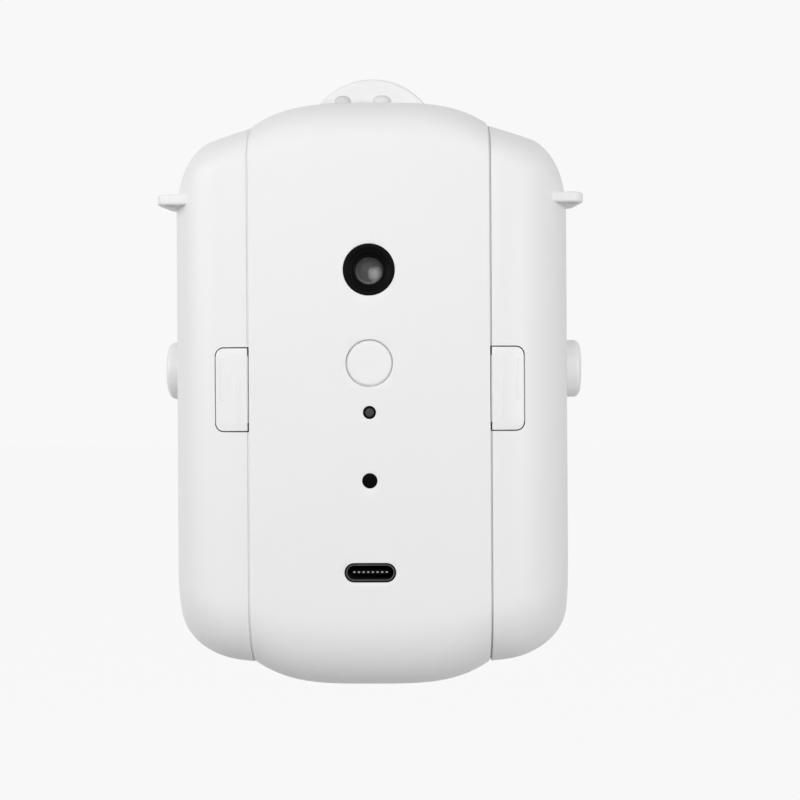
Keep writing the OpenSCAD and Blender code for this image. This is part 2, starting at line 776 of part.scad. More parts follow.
module main_pcb() {
    hung() color("darkgreen") difference() {
        block([-pcb_half_w, pcb_y0, pcb_z0], [pcb_half_w, pcb_y1, pcb_z1]);
        for (p = pcb_screws_at) translate([p[0], 0, p[1]]) along_y(pcb_screw_r + 0.1, pcb_y0 - 1, pcb_y1 + 1);
    }
}

module pcb_screws() {
    hung() color(steel) for (p = pcb_screws_at) translate([p[0], 0, p[1]])
        screw_y(pcb_screw_r, 1.7, 1, pcb_y1 - pcb_screw_len + 0.5, pcb_y1);
}

module chip(z, w, h, tint) {
    hung() color(tint) block([-w / 2, pcb_y0 - h, z - w / 2], [w / 2, pcb_y0, z + w / 2]);
}

module light_sensor() {
    chip(sensor_z, sensor_chip_w, sensor_chip_h, black);
}

module led_chip() {
    chip(led_z, chip_w, chip_h, amber);
}

module receiver_chip() {
    chip(receiver_z, chip_w, chip_h, black);
}

module tact_switch() {
    hung() color(black) at_front(button_z) difference() {
        block([-switch_w / 2, pcb_y0 - switch_h, -switch_w / 2], [switch_w / 2, pcb_y0, switch_w / 2]);
        along_y(plunger_r + running_fit, pcb_y0 - switch_h - 1, pcb_y0 - switch_h + plunger_seat + button_travel + 0.3);
    }
}

module switch_plunger() {
    hung() color(pale_grey) at_front(button_z)
        along_y(plunger_r, pcb_y0 - switch_h - plunger_proud, pcb_y0 - switch_h + plunger_seat);
}

module main_button() {
    stop_y = inner_front_y + seat_gap;
    hung() color(white) at_front(button_z) {
        along_y(button_r, front_y + 0.05, stop_y + button_flange_t);
        along_y(button_flange_r, stop_y, stop_y + button_flange_t);
        along_y(button_stem_r, stop_y, pcb_y0 - switch_h - plunger_proud);
    }
}

// Light sensor: a black ring with a funnel, and a domed lens seated in it

module sensor_bezel() {
    hung() color(black) at_front(sensor_z) difference() {
        union() {
            along_y(sensor_r, front_y - 0.1, flange_y + bezel_flange_t);
            along_y(bezel_flange_r, flange_y, flange_y + bezel_flange_t);
            along_y(lens_r + tube_wall, inner_front_y, pcb_y0 - sensor_chip_h - seat_gap);
        }
        translate([0, front_y - 0.1 + lens_recess, 0]) rotate([90, 0, 0])
            cylinder(r1 = lens_r, r2 = sensor_r - 0.5, h = lens_recess + eps);
        along_y(lens_r, front_y - 0.1, front_y - 0.1 + lens_recess + lens_t);
        along_y(lens_r - lens_ledge, front_y, pcb_y0);
    }
}

module sensor_lens() {
    front = front_y - 0.1 + lens_recess;
    dome = [for (k = [0:lens_steps]) [lens_r * k / lens_steps, lens_sag * (1 - pow(k / lens_steps, 2))]];
    hung() color([0.15, 0.15, 0.15]) translate([0, front + lens_sag, sensor_z]) turned_about_y()
        polygon(concat(dome, [[lens_r, lens_sag - lens_t], [0, lens_sag - lens_t]]));
}

module led_light_pipe() {
    hung() color([0.32, 0.32, 0.32]) at_front(led_z) {
        along_y(led_r, front_y + 0.05, pcb_y0 - chip_h - seat_gap);
        along_y(led_r + 0.8, flange_y, flange_y + 0.8);
    }
}

module receiver_window() {
    hung() color(black) at_front(receiver_z) {
        along_y(receiver_r, front_y + 0.1, pcb_y0 - chip_h - seat_gap);
        along_y(receiver_r + 0.8, flange_y, flange_y + 0.8);
    }
}

// Charging inlet

module usb_shell() {
    usb_y0 = front_y + usb_recess;
    hung() color(steel) difference() {
        usb_bar(usb_w, usb_h, usb_y0, pcb_y0);
        usb_bar(usb_w - 2 * usb_shell_t, usb_h - 2 * usb_shell_t, usb_y0 - 1, pcb_y0 + 1);
    }
}

module usb_tongue() {
    tongue_y0 = front_y + usb_recess + usb_tongue_recess;
    hung() color(black) {
        usb_bar(usb_w - 2 * usb_shell_t, usb_h - 2 * usb_shell_t, pcb_y0 - usb_base_t, pcb_y0);
        translate([0, 0, usb_z]) block([-usb_tongue[0] / 2, tongue_y0, -usb_tongue[1] / 2],
            [usb_tongue[0] / 2, pcb_y0 - usb_base_t + eps, usb_tongue[1] / 2]);
    }
}

// Heads on top of the body: a screw with a socket, and a plain round pin

module top_head(x, head_r) {
    translate([x, top_head_y, 0]) {
        translate([0, 0, top_boss_z0 + 1.5]) cylinder(r = top_stem_r, h = top_seat_z - top_boss_z0 - 1);
        translate([0, 0, top_seat_z]) intersection() {
            cylinder(r = head_r, h = top_head_h);
            translate([0, 0, top_head_h - head_r * 1.15]) sphere(r = head_r * 1.15);
        }
    }
}

module top_screw() {
    hung() color(steel) difference() {
        top_head(top_screw_x, top_screw_head_r);
        translate([top_screw_x, top_head_y, top_seat_z + top_head_h * 0.4])
            cylinder(r = top_screw_head_r * 0.5, h = top_head_h, $fn = 6);
    }
}

module top_pin() {
    hung() color(pale_grey) top_head(top_pin_x, top_pin_head_r);
}

// Wings, drawn for the right side

module tab_outline(grow) {
    hull() {
        translate([wing_x0, tab_z - tab_h / 2 - grow]) square([1, tab_h + 2 * grow]);
        for (sz = [-1, 1]) translate([tab_x1 - tab_corner_r, tab_z + sz * (tab_h / 2 - tab_corner_r)])
            circle(r = tab_corner_r + grow, $fn = 32);
    }
}

module tab_bar(grow, y0, y1) {
    translate([0, y1, 0]) rotate([90, 0, 0]) linear_extrude(y1 - y0) tab_outline(grow);
}

module eyelet() {
    translate([0, eyelet_y, eyelet_z - eyelet_t / 2]) linear_extrude(eyelet_t) hull() {
        translate([eyelet_root_x, -eyelet_tip_r]) square([1, eyelet_root_w]);
        translate(eyelet_back) circle(r = eyelet_back_r, $fn = 48);
        translate([eyelet_hole_x, 0]) circle(r = eyelet_tip_r, $fn = 32);
    }
}

module wing(side) {
    on_side(side) color(white) difference() {
        union() {
            difference() {
                union() {
                    wing_solid(0, wing_x0);
                    eyelet();
                }
                wing_solid(wall, wing_x0 - 1);
            }
            intersection() {
                wing_solid(wall / 2, wing_x0);
                for (p = wing_posts) translate([0, p[0], p[1]])
                    along_x(wing_post_r, wing_plate_x1, wing_x1);
            }
        }
        translate([eyelet_hole_x, eyelet_y, eyelet_z - reach / 2]) cylinder(r = eyelet_hole_r, h = reach);
        translate([0, 0, side_button_z]) along_x(side_button_r + button_gap, wing_x1 - wall - 1, wing_x1 + 1);
        tab_bar(button_gap, front_y - 1, tab_back_y);
        block([wing_x0 - 1, front_y - 1, tab_z - tab_h / 2 - button_gap],
            [wing_x0 + 1, tab_back_y, tab_z + tab_h / 2 + button_gap]);
        for (p = wing_posts) translate([0, p[0], p[1]])
            along_x(wing_screw_r, wing_plate_x1 - 1, wing_plate_x1 + wing_screw_len);
    }
}

module wing_plate(side) {
    on_side(side) color(pale_grey) difference() {
        union() {
            intersection() {
                wing_solid(wall + plate_gap, wing_x0);
                block([wing_x0, -reach, -reach], [wing_plate_x1, reach, reach]);
            }
            for (z = rod_zs) translate([0, rod_y, z])
                along_x(rod_boss_r, wing_plate_x1 - eps, wing_plate_x1 + rod_boss_len);
            translate([0, 0, side_button_z]) along_x(side_guide_r, wing_plate_x1 - eps, side_guide_x1);
            block([wing_plate_x1 - eps, tab_flange_y1 + tab_spring_len, tab_z - 4],
                [tab_spring_x + tab_spring_r + 0.6, tab_flange_y1 + tab_spring_len + tab_shelf_t, tab_z + 4]);
        }
        block([wing_x0 - 1, -reach, tab_z - tab_h / 2 - tab_flange_out - 1],
            [wing_plate_x1 + eps, tab_flange_y1 + tab_travel + 1, tab_z + tab_h / 2 + tab_flange_out + 1]);
        for (z = rod_zs) translate([0, rod_y, z]) along_x(rod_r + rod_seat, wing_x0 - 1, reach);
        translate([0, 0, side_button_z]) along_x(side_stem_r + running_fit, wing_x0 - 1, reach);
        for (p = wing_posts) translate([0, p[0], p[1]]) {
            along_x(wing_screw_r + 0.1, wing_x0 - 1, reach);
            along_x(wing_screw_head_r + 0.1, wing_x0 - 1, wing_x0 + wing_screw_head_h);
        }
    }
}

module wing_screws(side) {
    on_side(side) color(steel) for (p = wing_posts) translate([0, p[0], p[1]]) difference() {
        union() {
            along_x(wing_screw_head_r, wing_x0 + 0.1, wing_x0 + wing_screw_head_h);
            along_x(wing_screw_r, wing_x0 + 0.5, wing_plate_x1 + wing_screw_len - 0.5);
        }
        translate([wing_x0, 0, 0]) rotate([0, 90, 0]) cylinder(r = wing_screw_head_r * 0.45, h = 0.7, $fn = 6);
    }
}

module guide_rods(side) {
    on_side(side) color(steel) for (z = rod_zs) translate([0, rod_y, z])
        along_x(rod_r, seam_x - rod_engaged, wing_plate_x1 + rod_boss_len);
}

module guide_bushes(side) {
    on_side(side) color(brass) for (z = rod_zs) translate([0, rod_y, z]) difference() {
        union() {
            along_x(rod_bush_r, seam_x - rod_bush_len, seam_x);
            along_x(rod_bush_flange_r, inner_side_x - rod_bush_flange_t, inner_side_x);
        }
        along_x(rod_r + running_fit, 0, reach);
    }
}

module release_tab(side) {
    on_side(side) color(white) difference() {
        union() {
            intersection() {
                wing_solid(0, wing_x0);
                tab_bar(0, front_y - 1, tab_back_y + eps);
            }
            block([wing_x0, tab_back_y, tab_z - tab_h / 2 - tab_flange_out],
                [tab_x1 + tab_flange_out, tab_flange_y1, tab_z + tab_h / 2 + tab_flange_out]);
            block([seam_x - tab_nose_len + seat_gap, tab_back_y, tab_z - tab_nose_h / 2],
                [wing_x0 + 1, tab_flange_y1, tab_z + tab_nose_h / 2]);
        }
        for (k = [0:tab_rib_count - 1])
            translate([wing_x0 + tab_w / 2 + (k - 1) * tab_rib_pitch, 0, 0])
                block([-tab_rib_w / 2, front_y - 1, tab_z - tab_h / 4],
                    [tab_rib_w / 2, front_y + panel_crown + tab_rib_depth + 0.1, tab_z + tab_h / 4]);
    }
}

module tab_spring(side) {
    on_side(side) color(steel) translate([tab_spring_x, 0, tab_z]) difference() {
        along_y(tab_spring_r, tab_flange_y1, tab_flange_y1 + tab_spring_len);
        along_y(tab_spring_r - tab_spring_wall, tab_flange_y1 - 1, reach);
    }
}

module side_button(side) {
    x1 = wing_x1 + side_button_proud;
    edge = [for (k = [0:6]) side_button_edge * [sin(90 * k / 6), cos(90 * k / 6)]];
    on_side(side) color(white) translate([0, 0, side_button_z]) {
        rotate([0, 90, 0]) rotate_extrude($fn = 96) polygon(concat(
            [[0, side_stem_x0], [side_stem_r, side_stem_x0], [side_stem_r, side_flange_x0]],
            [[side_flange_r, side_flange_x0], [side_flange_r, side_flange_x1], [side_button_r, side_flange_x1]],
            [for (k = [6:-1:0]) [side_button_r - side_button_edge + edge[k][0], x1 - side_button_edge + edge[k][1]]],
            [[0, x1]]));
    }
}

module button_spring(side) {
    inner = side_stem_r + 0.4;
    on_side(side) color(steel) translate([0, 0, side_button_z]) difference() {
        along_x(inner + side_spring_wall, side_guide_x1, side_flange_x0);
        along_x(inner, 0, reach);
    }
}

front_cover();
back_cover();
chassis();
gearbox_cover();
gearbox_screws();
gear_axles();
shaft_bushes();
motor_can();
motor_gearhead();
motor_screws();
motor_shaft();
motor_pinion();
compound_gear_a();
compound_gear_b();
output_gear();
drive_shaft();
wheel_hub();
drive_tyre();
battery_cells();
battery_holder();
battery_contacts();
main_pcb();
pcb_screws();
case_screws();
usb_shell();
usb_tongue();
tact_switch();
switch_plunger();
main_button();
sensor_bezel();
sensor_lens();
light_sensor();
led_light_pipe();
led_chip();
receiver_window();
receiver_chip();
top_screw();
top_pin();
for (s = side_names) {
    wing(s);
    wing_plate(s);
    wing_screws(s);
    guide_rods(s);
    guide_bushes(s);
    release_tab(s);
    tab_spring(s);
    side_button(s);
    button_spring(s);
}
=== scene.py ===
# %% [markdown]
# # A curtain robot, dressed for its picture
#
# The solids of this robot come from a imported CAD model: 56 nodes on 12 bodies. This file loads them as a
# fixed frame and makes the looks: finer shells with soft edges, moulded plastic, glass, steel and rubber.
# Sizes of the robot are written in millimetres, with heights from the middle of its body. They become metres
# of the frame, whose origin is the wheel's crown, when a mesh is made. The room and its lamps are in metres.

# %% Load the frame
import json
import math

import bmesh
import bpy
from mathutils import Matrix, Vector


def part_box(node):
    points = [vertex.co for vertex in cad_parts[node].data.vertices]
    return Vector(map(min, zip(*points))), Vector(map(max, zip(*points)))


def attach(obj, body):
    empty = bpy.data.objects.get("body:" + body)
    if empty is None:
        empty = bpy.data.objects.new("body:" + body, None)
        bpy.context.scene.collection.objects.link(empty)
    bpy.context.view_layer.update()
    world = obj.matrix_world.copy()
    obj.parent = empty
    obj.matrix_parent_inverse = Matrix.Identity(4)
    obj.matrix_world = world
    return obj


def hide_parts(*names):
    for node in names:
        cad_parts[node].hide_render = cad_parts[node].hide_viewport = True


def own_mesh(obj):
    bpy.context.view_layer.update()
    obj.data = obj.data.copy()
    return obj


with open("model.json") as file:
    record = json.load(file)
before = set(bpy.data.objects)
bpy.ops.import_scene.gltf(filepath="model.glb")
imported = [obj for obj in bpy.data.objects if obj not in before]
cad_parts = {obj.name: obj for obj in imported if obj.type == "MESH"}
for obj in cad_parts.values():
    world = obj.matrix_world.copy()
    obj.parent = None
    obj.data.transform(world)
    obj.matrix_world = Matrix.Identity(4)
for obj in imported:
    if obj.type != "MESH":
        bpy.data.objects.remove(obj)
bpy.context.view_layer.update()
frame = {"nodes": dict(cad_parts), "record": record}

# %% [markdown]
# ## The driving sizes
#
# The shells follow a rule: one side outline with four elliptical corners, stretched at each place along the
# rail direction. These are the same sizes that drive the CAD, in millimetres above and below the body's
# mid-line, so that a finer skin lies exactly where the solid is. The mid-line's height comes from the frame.
# FAR and FAR_Z lie past every side of the body, so cutters can end there. KEEP_INSET is halfway into a wall,
# where posts that stand on the wall are trimmed.

# %% Sizes of the shells
MM = 0.001
BODY_TOP, BODY_BOTTOM, HALF_DEPTH = 55.3, 54.1, 25.0
SEAM_X, WING_X0, WING_X1 = 21.6, 21.9, 36.5
WALL, SIDE_WALL = 2.0, 1.6
TOP_DROP, BOTTOM_RISE, DROP_POWER, PANEL_CROWN = 4.0, 4.2, 3.6, 0.4
WING_NOTCH = 0.5
WING_TOP_FALL, WING_BOTTOM_FALL, WING_DEPTH_FALL = 4.5, 1.5, 0.5
WING_W = WING_X1 - WING_X0
WING_TOP_TURN = (0.452 * WING_W, 8.7)
WING_BOTTOM_TURN = (0.83 * WING_W, 8.0)
WING_DEPTH_TURN = (0.89 * WING_W, 13.0)
FRONT_TOP, FRONT_BOTTOM, BACK_BOTTOM, BACK_TOP = (22, 10), (12.5, 13.5), (10, 12), (16, 9)
SEAM_EDGE, SEAM_LIP_W, SEAM_LIP_DEPTH = 0.2, 0.26, {-1: 0.02, 1: 0.4}
SPLIT_Y, SPLIT_GAP = 5.8, 0.04
FAR, FAR_Z, KEEP_INSET = 60.0, 90.0, 1.0
MID_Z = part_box("front_cover")[0].z / MM + BODY_BOTTOM
FRONT_Y = -HALF_DEPTH
print("mid-line lies", round(-MID_Z, 2), "mm under the wheel's crown")

# %% [markdown]
# ## The camera
#
# The picture was taken almost straight from the front with a longish lens. The place of the camera was
# found by fitting the outline and the small round features of the panel. A camera can be aimed with a Track
# To constraint, but a matrix made from its own three axes also holds the slight roll, with nothing left live.

# %% Camera
CAMERA_AT = Vector((9.88, -278.18, MID_Z - 1.3)) * MM
CAMERA_TURN = math.radians(1.0)
CAMERA_ROLL = math.radians(0.313)
FOCAL_PX, PICTURE_PX, FILM_W = 1421.1, 800.0, 36.0


def aim_camera(place, turn, roll):
    forward = Vector((-math.sin(turn), math.cos(turn), 0))
    level = forward.cross(Vector((0, 0, 1)))
    up = Vector((0, 0, 1)) * math.cos(roll) + level * math.sin(roll)
    right = forward.cross(up)
    axes = Matrix((right, up, -forward)).transposed()
    return Matrix.Translation(place) @ axes.to_4x4()


camera_data = bpy.data.cameras.new("front_camera")
camera_data.sensor_width = FILM_W
camera_data.lens = FILM_W * FOCAL_PX / PICTURE_PX
camera_data.clip_start = 0.01
camera = bpy.data.objects.new("front_camera", camera_data)
camera.matrix_world = aim_camera(CAMERA_AT, CAMERA_TURN, CAMERA_ROLL)
bpy.context.collection.objects.link(camera)
bpy.context.scene.camera = camera
bpy.context.scene.view_settings.view_transform = "Standard"
print("camera: lens", round(camera_data.lens, 1), "mm")

# %% [markdown]
# ## Shader maths in plain expressions
#
# A finish is a small tree of nodes. Dragging wires is fine for one of them, but here there are a dozen that
# share the same ideas, so a socket is wrapped in a class whose + - * / add Math nodes by themselves. One
# method makes every other kind of node: settings first, then the values or wires of its sockets.


# %% Wires and finishes
class Wire:
    """An output socket that can be used in arithmetic."""

    def __init__(self, tree, socket):
        self.tree, self.socket = tree, socket

    def node(self, kind, settings=None, inputs=None, out=0):
        made = self.tree.nodes.new(kind)
        for key, value in (settings or {}).items():
            if key == "stops":
                ramp = made.color_ramp
                while len(ramp.elements) < len(value):
                    ramp.elements.new(0.5)
                for element, (at, grey) in zip(ramp.elements, value):
                    element.position, element.color = at, (grey, grey, grey, 1)
            else:
                setattr(made, key, value)
        for key, value in (inputs or {}).items():
            if isinstance(value, Wire):
                self.tree.links.new(value.socket, made.inputs[key])
            else:
                made.inputs[key].default_value = value
        return Wire(self.tree, made.outputs[out])

    def maths(self, operation, first, second):
        return self.node("ShaderNodeMath", {"operation": operation}, {0: first, 1: second})

    def __add__(self, other):
        return self.maths("ADD", self, other)

    def __sub__(self, other):
        return self.maths("SUBTRACT", self, other)

    def __rsub__(self, other):
        return self.maths("SUBTRACT", other, self)

    def __mul__(self, other):
        return self.maths("MULTIPLY", self, other)

    def __truediv__(self, other):
        return self.maths("DIVIDE", self, other)

    __radd__, __rmul__ = __add__, __mul__


def new_finish(name, **constants):
    """A material with its Principled shader, its constants set on their own sockets."""
    material = bpy.data.materials.new(name)
    material.use_nodes = True
    tree = material.node_tree
    shader = tree.nodes["Principled BSDF"]
    for socket, value in constants.items():
        shader.inputs[socket.replace("_", " ")].default_value = value
    place = Wire(tree, None).node("ShaderNodeTexCoord", out="Object")
    return material, shader, place


def speckle(place, scale, detail=2.0, stretch=None):
    """Soft noise from 0 to 1, its grain about 1/scale metres, stretched along an axis if asked."""
    if stretch:
        place = place.node("ShaderNodeMapping", {}, {"Vector": place, "Scale": stretch})
    return place.node("ShaderNodeTexNoise", {}, {"Vector": place, "Scale": scale, "Detail": detail})


def tint(wire, low, high):
    """A colour between two, by a number from 0 to 1."""
    return wire.node("ShaderNodeMix", {"data_type": "RGBA"},
                     {0: wire, 6: (*low, 1), 7: (*high, 1)}, out=2)


def plug(shader, **wires):
    for socket, wire in wires.items():
        shader.id_data.links.new(wire.socket, shader.inputs[socket.replace("_", " ")])


def bumpy(wire, depth):
    """A normal from a height wire, depth in metres."""
    return wire.node("ShaderNodeBump", {}, {"Strength": 1.0, "Distance": depth, "Height": wire})


def shade(grey):
    return (grey, grey, grey)


print("finishes are made from wires")

# %% [markdown]
# ## The finishes
#
# Moulded plastic looks flat only from afar: the tool's spark texture gives it a grain of about a tenth of a
# millimetre, and the colour and the gloss drift a little over a hand's breadth. Each finish mixes such a fine
# bump with a slow drift. Metals get streaks along the way they were drawn or turned.


# %% Plastics and rubber
def moulded(name, grey_low, grey_high, rough, grain_depth, grain=9000.0, specular=0.4):
    material, shader, place = new_finish(name, Specular_IOR_Level=specular)
    drift = speckle(place, 45.0, 3.0)
    fine = speckle(place, grain, 1.0)
    plug(shader, Base_Color=tint(drift, shade(grey_low), shade(grey_high)),
         Roughness=rough + 0.08 * (drift - 0.5) + 0.06 * (fine - 0.5),
         Normal=bumpy(fine, grain_depth))
    return material


SHELL_WHITE = moulded("shell_white", 0.845, 0.865, 0.42, 0.00001)
SMOOTH_WHITE = moulded("smooth_white", 0.855, 0.87, 0.38, 0.000005)
RUBBER_WHITE = moulded("rubber_white", 0.835, 0.86, 0.62, 0.00002, 5000.0, 0.3)
FRAME_GREY = moulded("frame_grey", 0.56, 0.6, 0.5, 0.00002)
GEAR_WHITE = moulded("gear_white", 0.76, 0.8, 0.36, 0.000006)
BLACK_SATIN = moulded("black_satin", 0.002, 0.004, 0.45, 0.00001, 9000.0, 0.04)
# The top pin is the shell's white plastic; this darker grey is painted shade.
PIN_SHADE_GREY = moulded("pin_shade_grey", 0.7, 0.74, 0.6, 0.00001, 9000.0, 0.2)
PAINTED = moulded("painted_pale", 0.57, 0.71, 0.5, 0.00001, 9000.0, 0.2)
LAMP_PALE = moulded("lamp_pale", 0.7, 0.82, 0.4, 0.00001)
print("plastics:", 9)


# %% Metals, board and wrap
def metal(name, low, high, rough, stretch, streak=3000.0):
    material, shader, place = new_finish(name, Metallic=1.0)
    streaks = speckle(place, streak, 2.0, stretch)
    drift = speckle(place, 120.0, 2.0)
    plug(shader, Base_Color=tint(drift, low, high), Roughness=rough + 0.14 * (streaks - 0.5),
         Normal=bumpy(streaks, 0.000006))
    return material


STEEL = metal("plated_steel", (0.56, 0.57, 0.58), (0.66, 0.67, 0.68), 0.3, (1, 1, 0.08))
# The inlet sleeve's steel is coloured dark: painted shade for its shadowed rim and the dark gap it reflects.
SHADED_STEEL = metal("steel_painted_shade", (0.18, 0.18, 0.18), (0.26, 0.26, 0.26), 0.34, (0.08, 1, 1))
SATIN_NICKEL = metal("satin_nickel", (0.3, 0.3, 0.3), (0.36, 0.36, 0.36), 0.5, (1, 1, 0.1))
BRONZE = metal("sintered_bronze", (0.46, 0.3, 0.12), (0.58, 0.4, 0.18), 0.42, (1, 1, 1))


def solder_mask():
    material, shader, place = new_finish("board_green", Specular_IOR_Level=0.5)
    tracks = place.node("ShaderNodeTexBrick", {"offset": 0.37, "squash": 0.6, "squash_frequency": 3},
                        {"Vector": place.node("ShaderNodeMapping", {},
                                              {"Vector": place, "Rotation": (math.pi / 2, 0, 0)}),
                         "Scale": 420.0, "Mortar Size": 0.03, "Color1": (0, 0, 0, 1), "Color2": (0, 0, 0, 1),
                         "Mortar": (1, 1, 1, 1)})
    plug(shader, Base_Color=tint(tracks, (0.012, 0.11, 0.045), (0.03, 0.2, 0.085)),
         Roughness=0.34 + 0.1 * tracks, Normal=bumpy(tracks, 0.00003))
    return material


def cell_wrap():
    material, shader, place = new_finish("cell_wrap", Specular_IOR_Level=0.5)
    drift = speckle(place, 70.0, 3.0)
    crease = speckle(place, 900.0, 2.0, (1, 1, 0.1))
    plug(shader, Base_Color=tint(drift, (0.03, 0.13, 0.3), (0.05, 0.19, 0.4)),
         Roughness=0.26 + 0.12 * crease, Normal=bumpy(crease, 0.00002))
    return material


BOARD_GREEN, CELL_WRAP = solder_mask(), cell_wrap()
print("metals: 4, board and wrap: 2")


# %% Glass of the sensor and the light pipe
def tinted_window(name, low, high, rough, scale, gloss):
    material, shader, place = new_finish(name, Specular_IOR_Level=gloss, Coat_Roughness=0.1)
    cloud = speckle(place, scale, 2.0)
    fine = speckle(place, 12000.0, 1.0)
    plug(shader, Base_Color=tint(cloud, shade(low), shade(high)), Roughness=rough + 0.05 * (fine - 0.5),
         Coat_Weight=gloss * cloud)
    return material


def lens_glass(centre_z, radius):
    """Dark glass with painted reflections: a pale patch towards the lower right, a pale arc near its rim, and
    paler towards the bottom.
    """
    material, shader, place = new_finish("lens_dark", Specular_IOR_Level=0.2)
    x = place.node("ShaderNodeSeparateXYZ", {}, {0: place}, out="X") / radius
    z = (place.node("ShaderNodeSeparateXYZ", {}, {0: place}, out="Z") - centre_z) / radius
    cloud = speckle(place, 1500.0, 2.0)
    # Painted reflections in the base colour: a pale patch at the lower right, a pale arc near the rim, and a
    # paling towards the bottom.
    away = (x - 0.42) * (x - 0.42) + (z + 0.3) * (z + 0.3) * 0.8
    painted_glint_patch = away.node("ShaderNodeValToRGB", {"stops": [(0.0, 1.0), (0.3, 0.0)]},
                      {0: away + 0.3 * (cloud - 0.5)})
    rim = away.node("ShaderNodeValToRGB", {"stops": [(0.62, 0.0), (0.76, 1.0), (0.86, 1.0), (0.96, 0.1)]},
                    {0: x * x + z * z + 0.2 * (cloud - 0.5)})
    grey = 0.025 + 0.035 * (1.0 - z) + 0.26 * painted_glint_patch + 0.12 * rim * (0.6 - 0.4 * z)
    plug(shader, Base_Color=tint(grey, shade(0.0), shade(1.0)), Roughness=0.3 + 0.2 * cloud)
    return material


PIPE_GREY = tinted_window("pipe_grey", 0.036, 0.054, 0.45, 900.0, 0.2)
WINDOW_BLACK = tinted_window("window_black", 0.001, 0.002, 0.3, 700.0, 0.03)
print("windows: 2")

# %% [markdown]
# ## Tools for meshes
#
# Three ways of making a solid cover almost everything here. A loft joins rings of points; a lathe turns a
# profile; and carving takes cutters out of a solid with a Boolean modifier, which is made real at once so
# that no modifier stays live. Edges sharper than a set angle are marked, the rest is shaded smooth.


# %% Mesh helpers
def to_object(name, mesh):
    made = bpy.data.objects.new(name, mesh)
    bpy.context.collection.objects.link(made)
    return made


def solid(name, points, faces):
    """A mesh from points in millimetres about the mid-line, its normals turned outwards."""
    mesh = bpy.data.meshes.new(name)
    mesh.from_pydata([(x * MM, y * MM, (z + MID_Z) * MM) for x, y, z in points], [], faces)
    work = bmesh.new()
    work.from_mesh(mesh)
    bmesh.ops.remove_doubles(work, verts=work.verts, dist=1e-7)
    bmesh.ops.recalc_face_normals(work, faces=work.faces)
    work.to_mesh(mesh)
    work.free()
    return to_object(name, mesh)


def tube_faces(rings, count, closed_ends=True):
    """Quads between rings of count points, with the two ends filled."""
    faces = [(k * count + i, k * count + (i + 1) % count,
              (k + 1) * count + (i + 1) % count, (k + 1) * count + i)
             for k in range(rings - 1) for i in range(count)]
    if closed_ends:
        faces += [tuple(range(count)), tuple((rings - 1) * count + i for i in range(count))]
    return faces


def loft(name, rings, ring_shaped=False):
    """A solid through rings of equally many points: capped at its ends, or closed on itself like a tyre."""
    rings = rings + [rings[0]] if ring_shaped else rings
    return solid(name, [p for ring in rings for p in ring],
                 tube_faces(len(rings), len(rings[0]), not ring_shaped))


def lathe(name, profile, centre, axis, sides=96, ring_shaped=False):
    """Turns (radius, distance) pairs about an axis, X, Y or Z, through a centre."""
    turn = {"X": lambda r, d, c, s: (d, r * c, r * s), "Y": lambda r, d, c, s: (r * c, d, r * s),
            "Z": lambda r, d, c, s: (r * c, r * s, d)}[axis]
    angles = [2 * math.pi * i / sides for i in range(sides)]
    rings = [[Vector(turn(max(r, 1e-4), d, math.cos(a), math.sin(a))) + Vector(centre) for a in angles]
             for r, d in profile]
    return loft(name, rings, ring_shaped)


def block(name, low, high):
    """A box between two corners."""
    points = [(x, y, z) for x in (low[0], high[0]) for y in (low[1], high[1]) for z in (low[2], high[2])]
    sides = [(0, 1, 3, 2), (4, 6, 7, 5), (0, 4, 5, 1), (2, 3, 7, 6), (0, 2, 6, 4), (1, 5, 7, 3)]
    return solid(name, points, sides)


def about(middle, half):
    """The two ends of a stretch about its middle."""
    return (middle - half, middle + half)


def mirrored(sign, *xs):
    """Distances from the middle as places on one side, from left to right."""
    return sorted(sign * x for x in xs)


def side_block(name, sign, xs, ys, zs):
    """A box on one side, between two distances from the middle, two depths and two heights."""
    return block(name, *zip(mirrored(sign, *xs), ys, zs))


def bar(name, outline, steps, ring_shaped=False):
    """A solid along Y: an outline of (x, z) points swept through (y, grow) steps."""
    return loft(name, [[(x, y, z) for x, z in outline(grow)] for y, grow in steps], ring_shaped)


def made_real(piece):
    """Applies a piece's modifiers to its mesh and removes them."""
    bpy.context.view_layer.update()
    seen = piece.evaluated_get(bpy.context.evaluated_depsgraph_get())
    mesh = bpy.data.meshes.new_from_object(seen)
    piece.modifiers.clear()
    piece.data = mesh
    return piece


def soften(piece, width, angle):
    """Rounds the edges that are sharper than an angle, by a width in millimetres."""
    bevel = piece.modifiers.new("soft_rim", "BEVEL")
    bevel.width, bevel.segments = width * MM, 3
    bevel.limit_method, bevel.angle_limit = "ANGLE", math.radians(angle)
    return made_real(piece)


def carve(piece, cutters, operation="DIFFERENCE"):
    """Cuts solids out of a piece, or joins or keeps what they share with it, and removes them."""
    for cutter in cutters:
        cut = piece.modifiers.new("cut", "BOOLEAN")
        cut.operation, cut.solver, cut.object = operation, "EXACT", cutter
    made_real(piece)
    for cutter in cutters:
        bpy.data.objects.remove(cutter)
    return piece


def merge(piece, others):
    """Adds the meshes of other objects to a piece, as they are."""
    work = bmesh.new()
    work.from_mesh(piece.data)
    for other in others:
        work.from_mesh(other.data)
        bpy.data.objects.remove(other)
    work.to_mesh(piece.data)
    work.free()
    return piece


def dress(piece, material, sharp=38):
    """Smooth shading with sharp edges over an angle, and one finish."""
    mesh = piece.data
    mesh.polygons.foreach_set("use_smooth", [True] * len(mesh.polygons))
    mesh.set_sharp_from_angle(angle=math.radians(sharp))
    mesh.materials.clear()
    mesh.materials.append(material)
    return piece


def hand_over(piece, body, slot, *nodes):
    """Parents a piece to the empty of the body it rides on, and hides the CAD solids it stands for."""
    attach(piece, body)
    if nodes:
        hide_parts(*nodes)
    work = bmesh.new()
    work.from_mesh(piece.data)
    loose = sum(len(edge.link_faces) != 2 for edge in work.edges)
    work.free()
    print(piece.name, "on", body + ":", len(piece.data.polygons), "faces,", loose, "open edges")


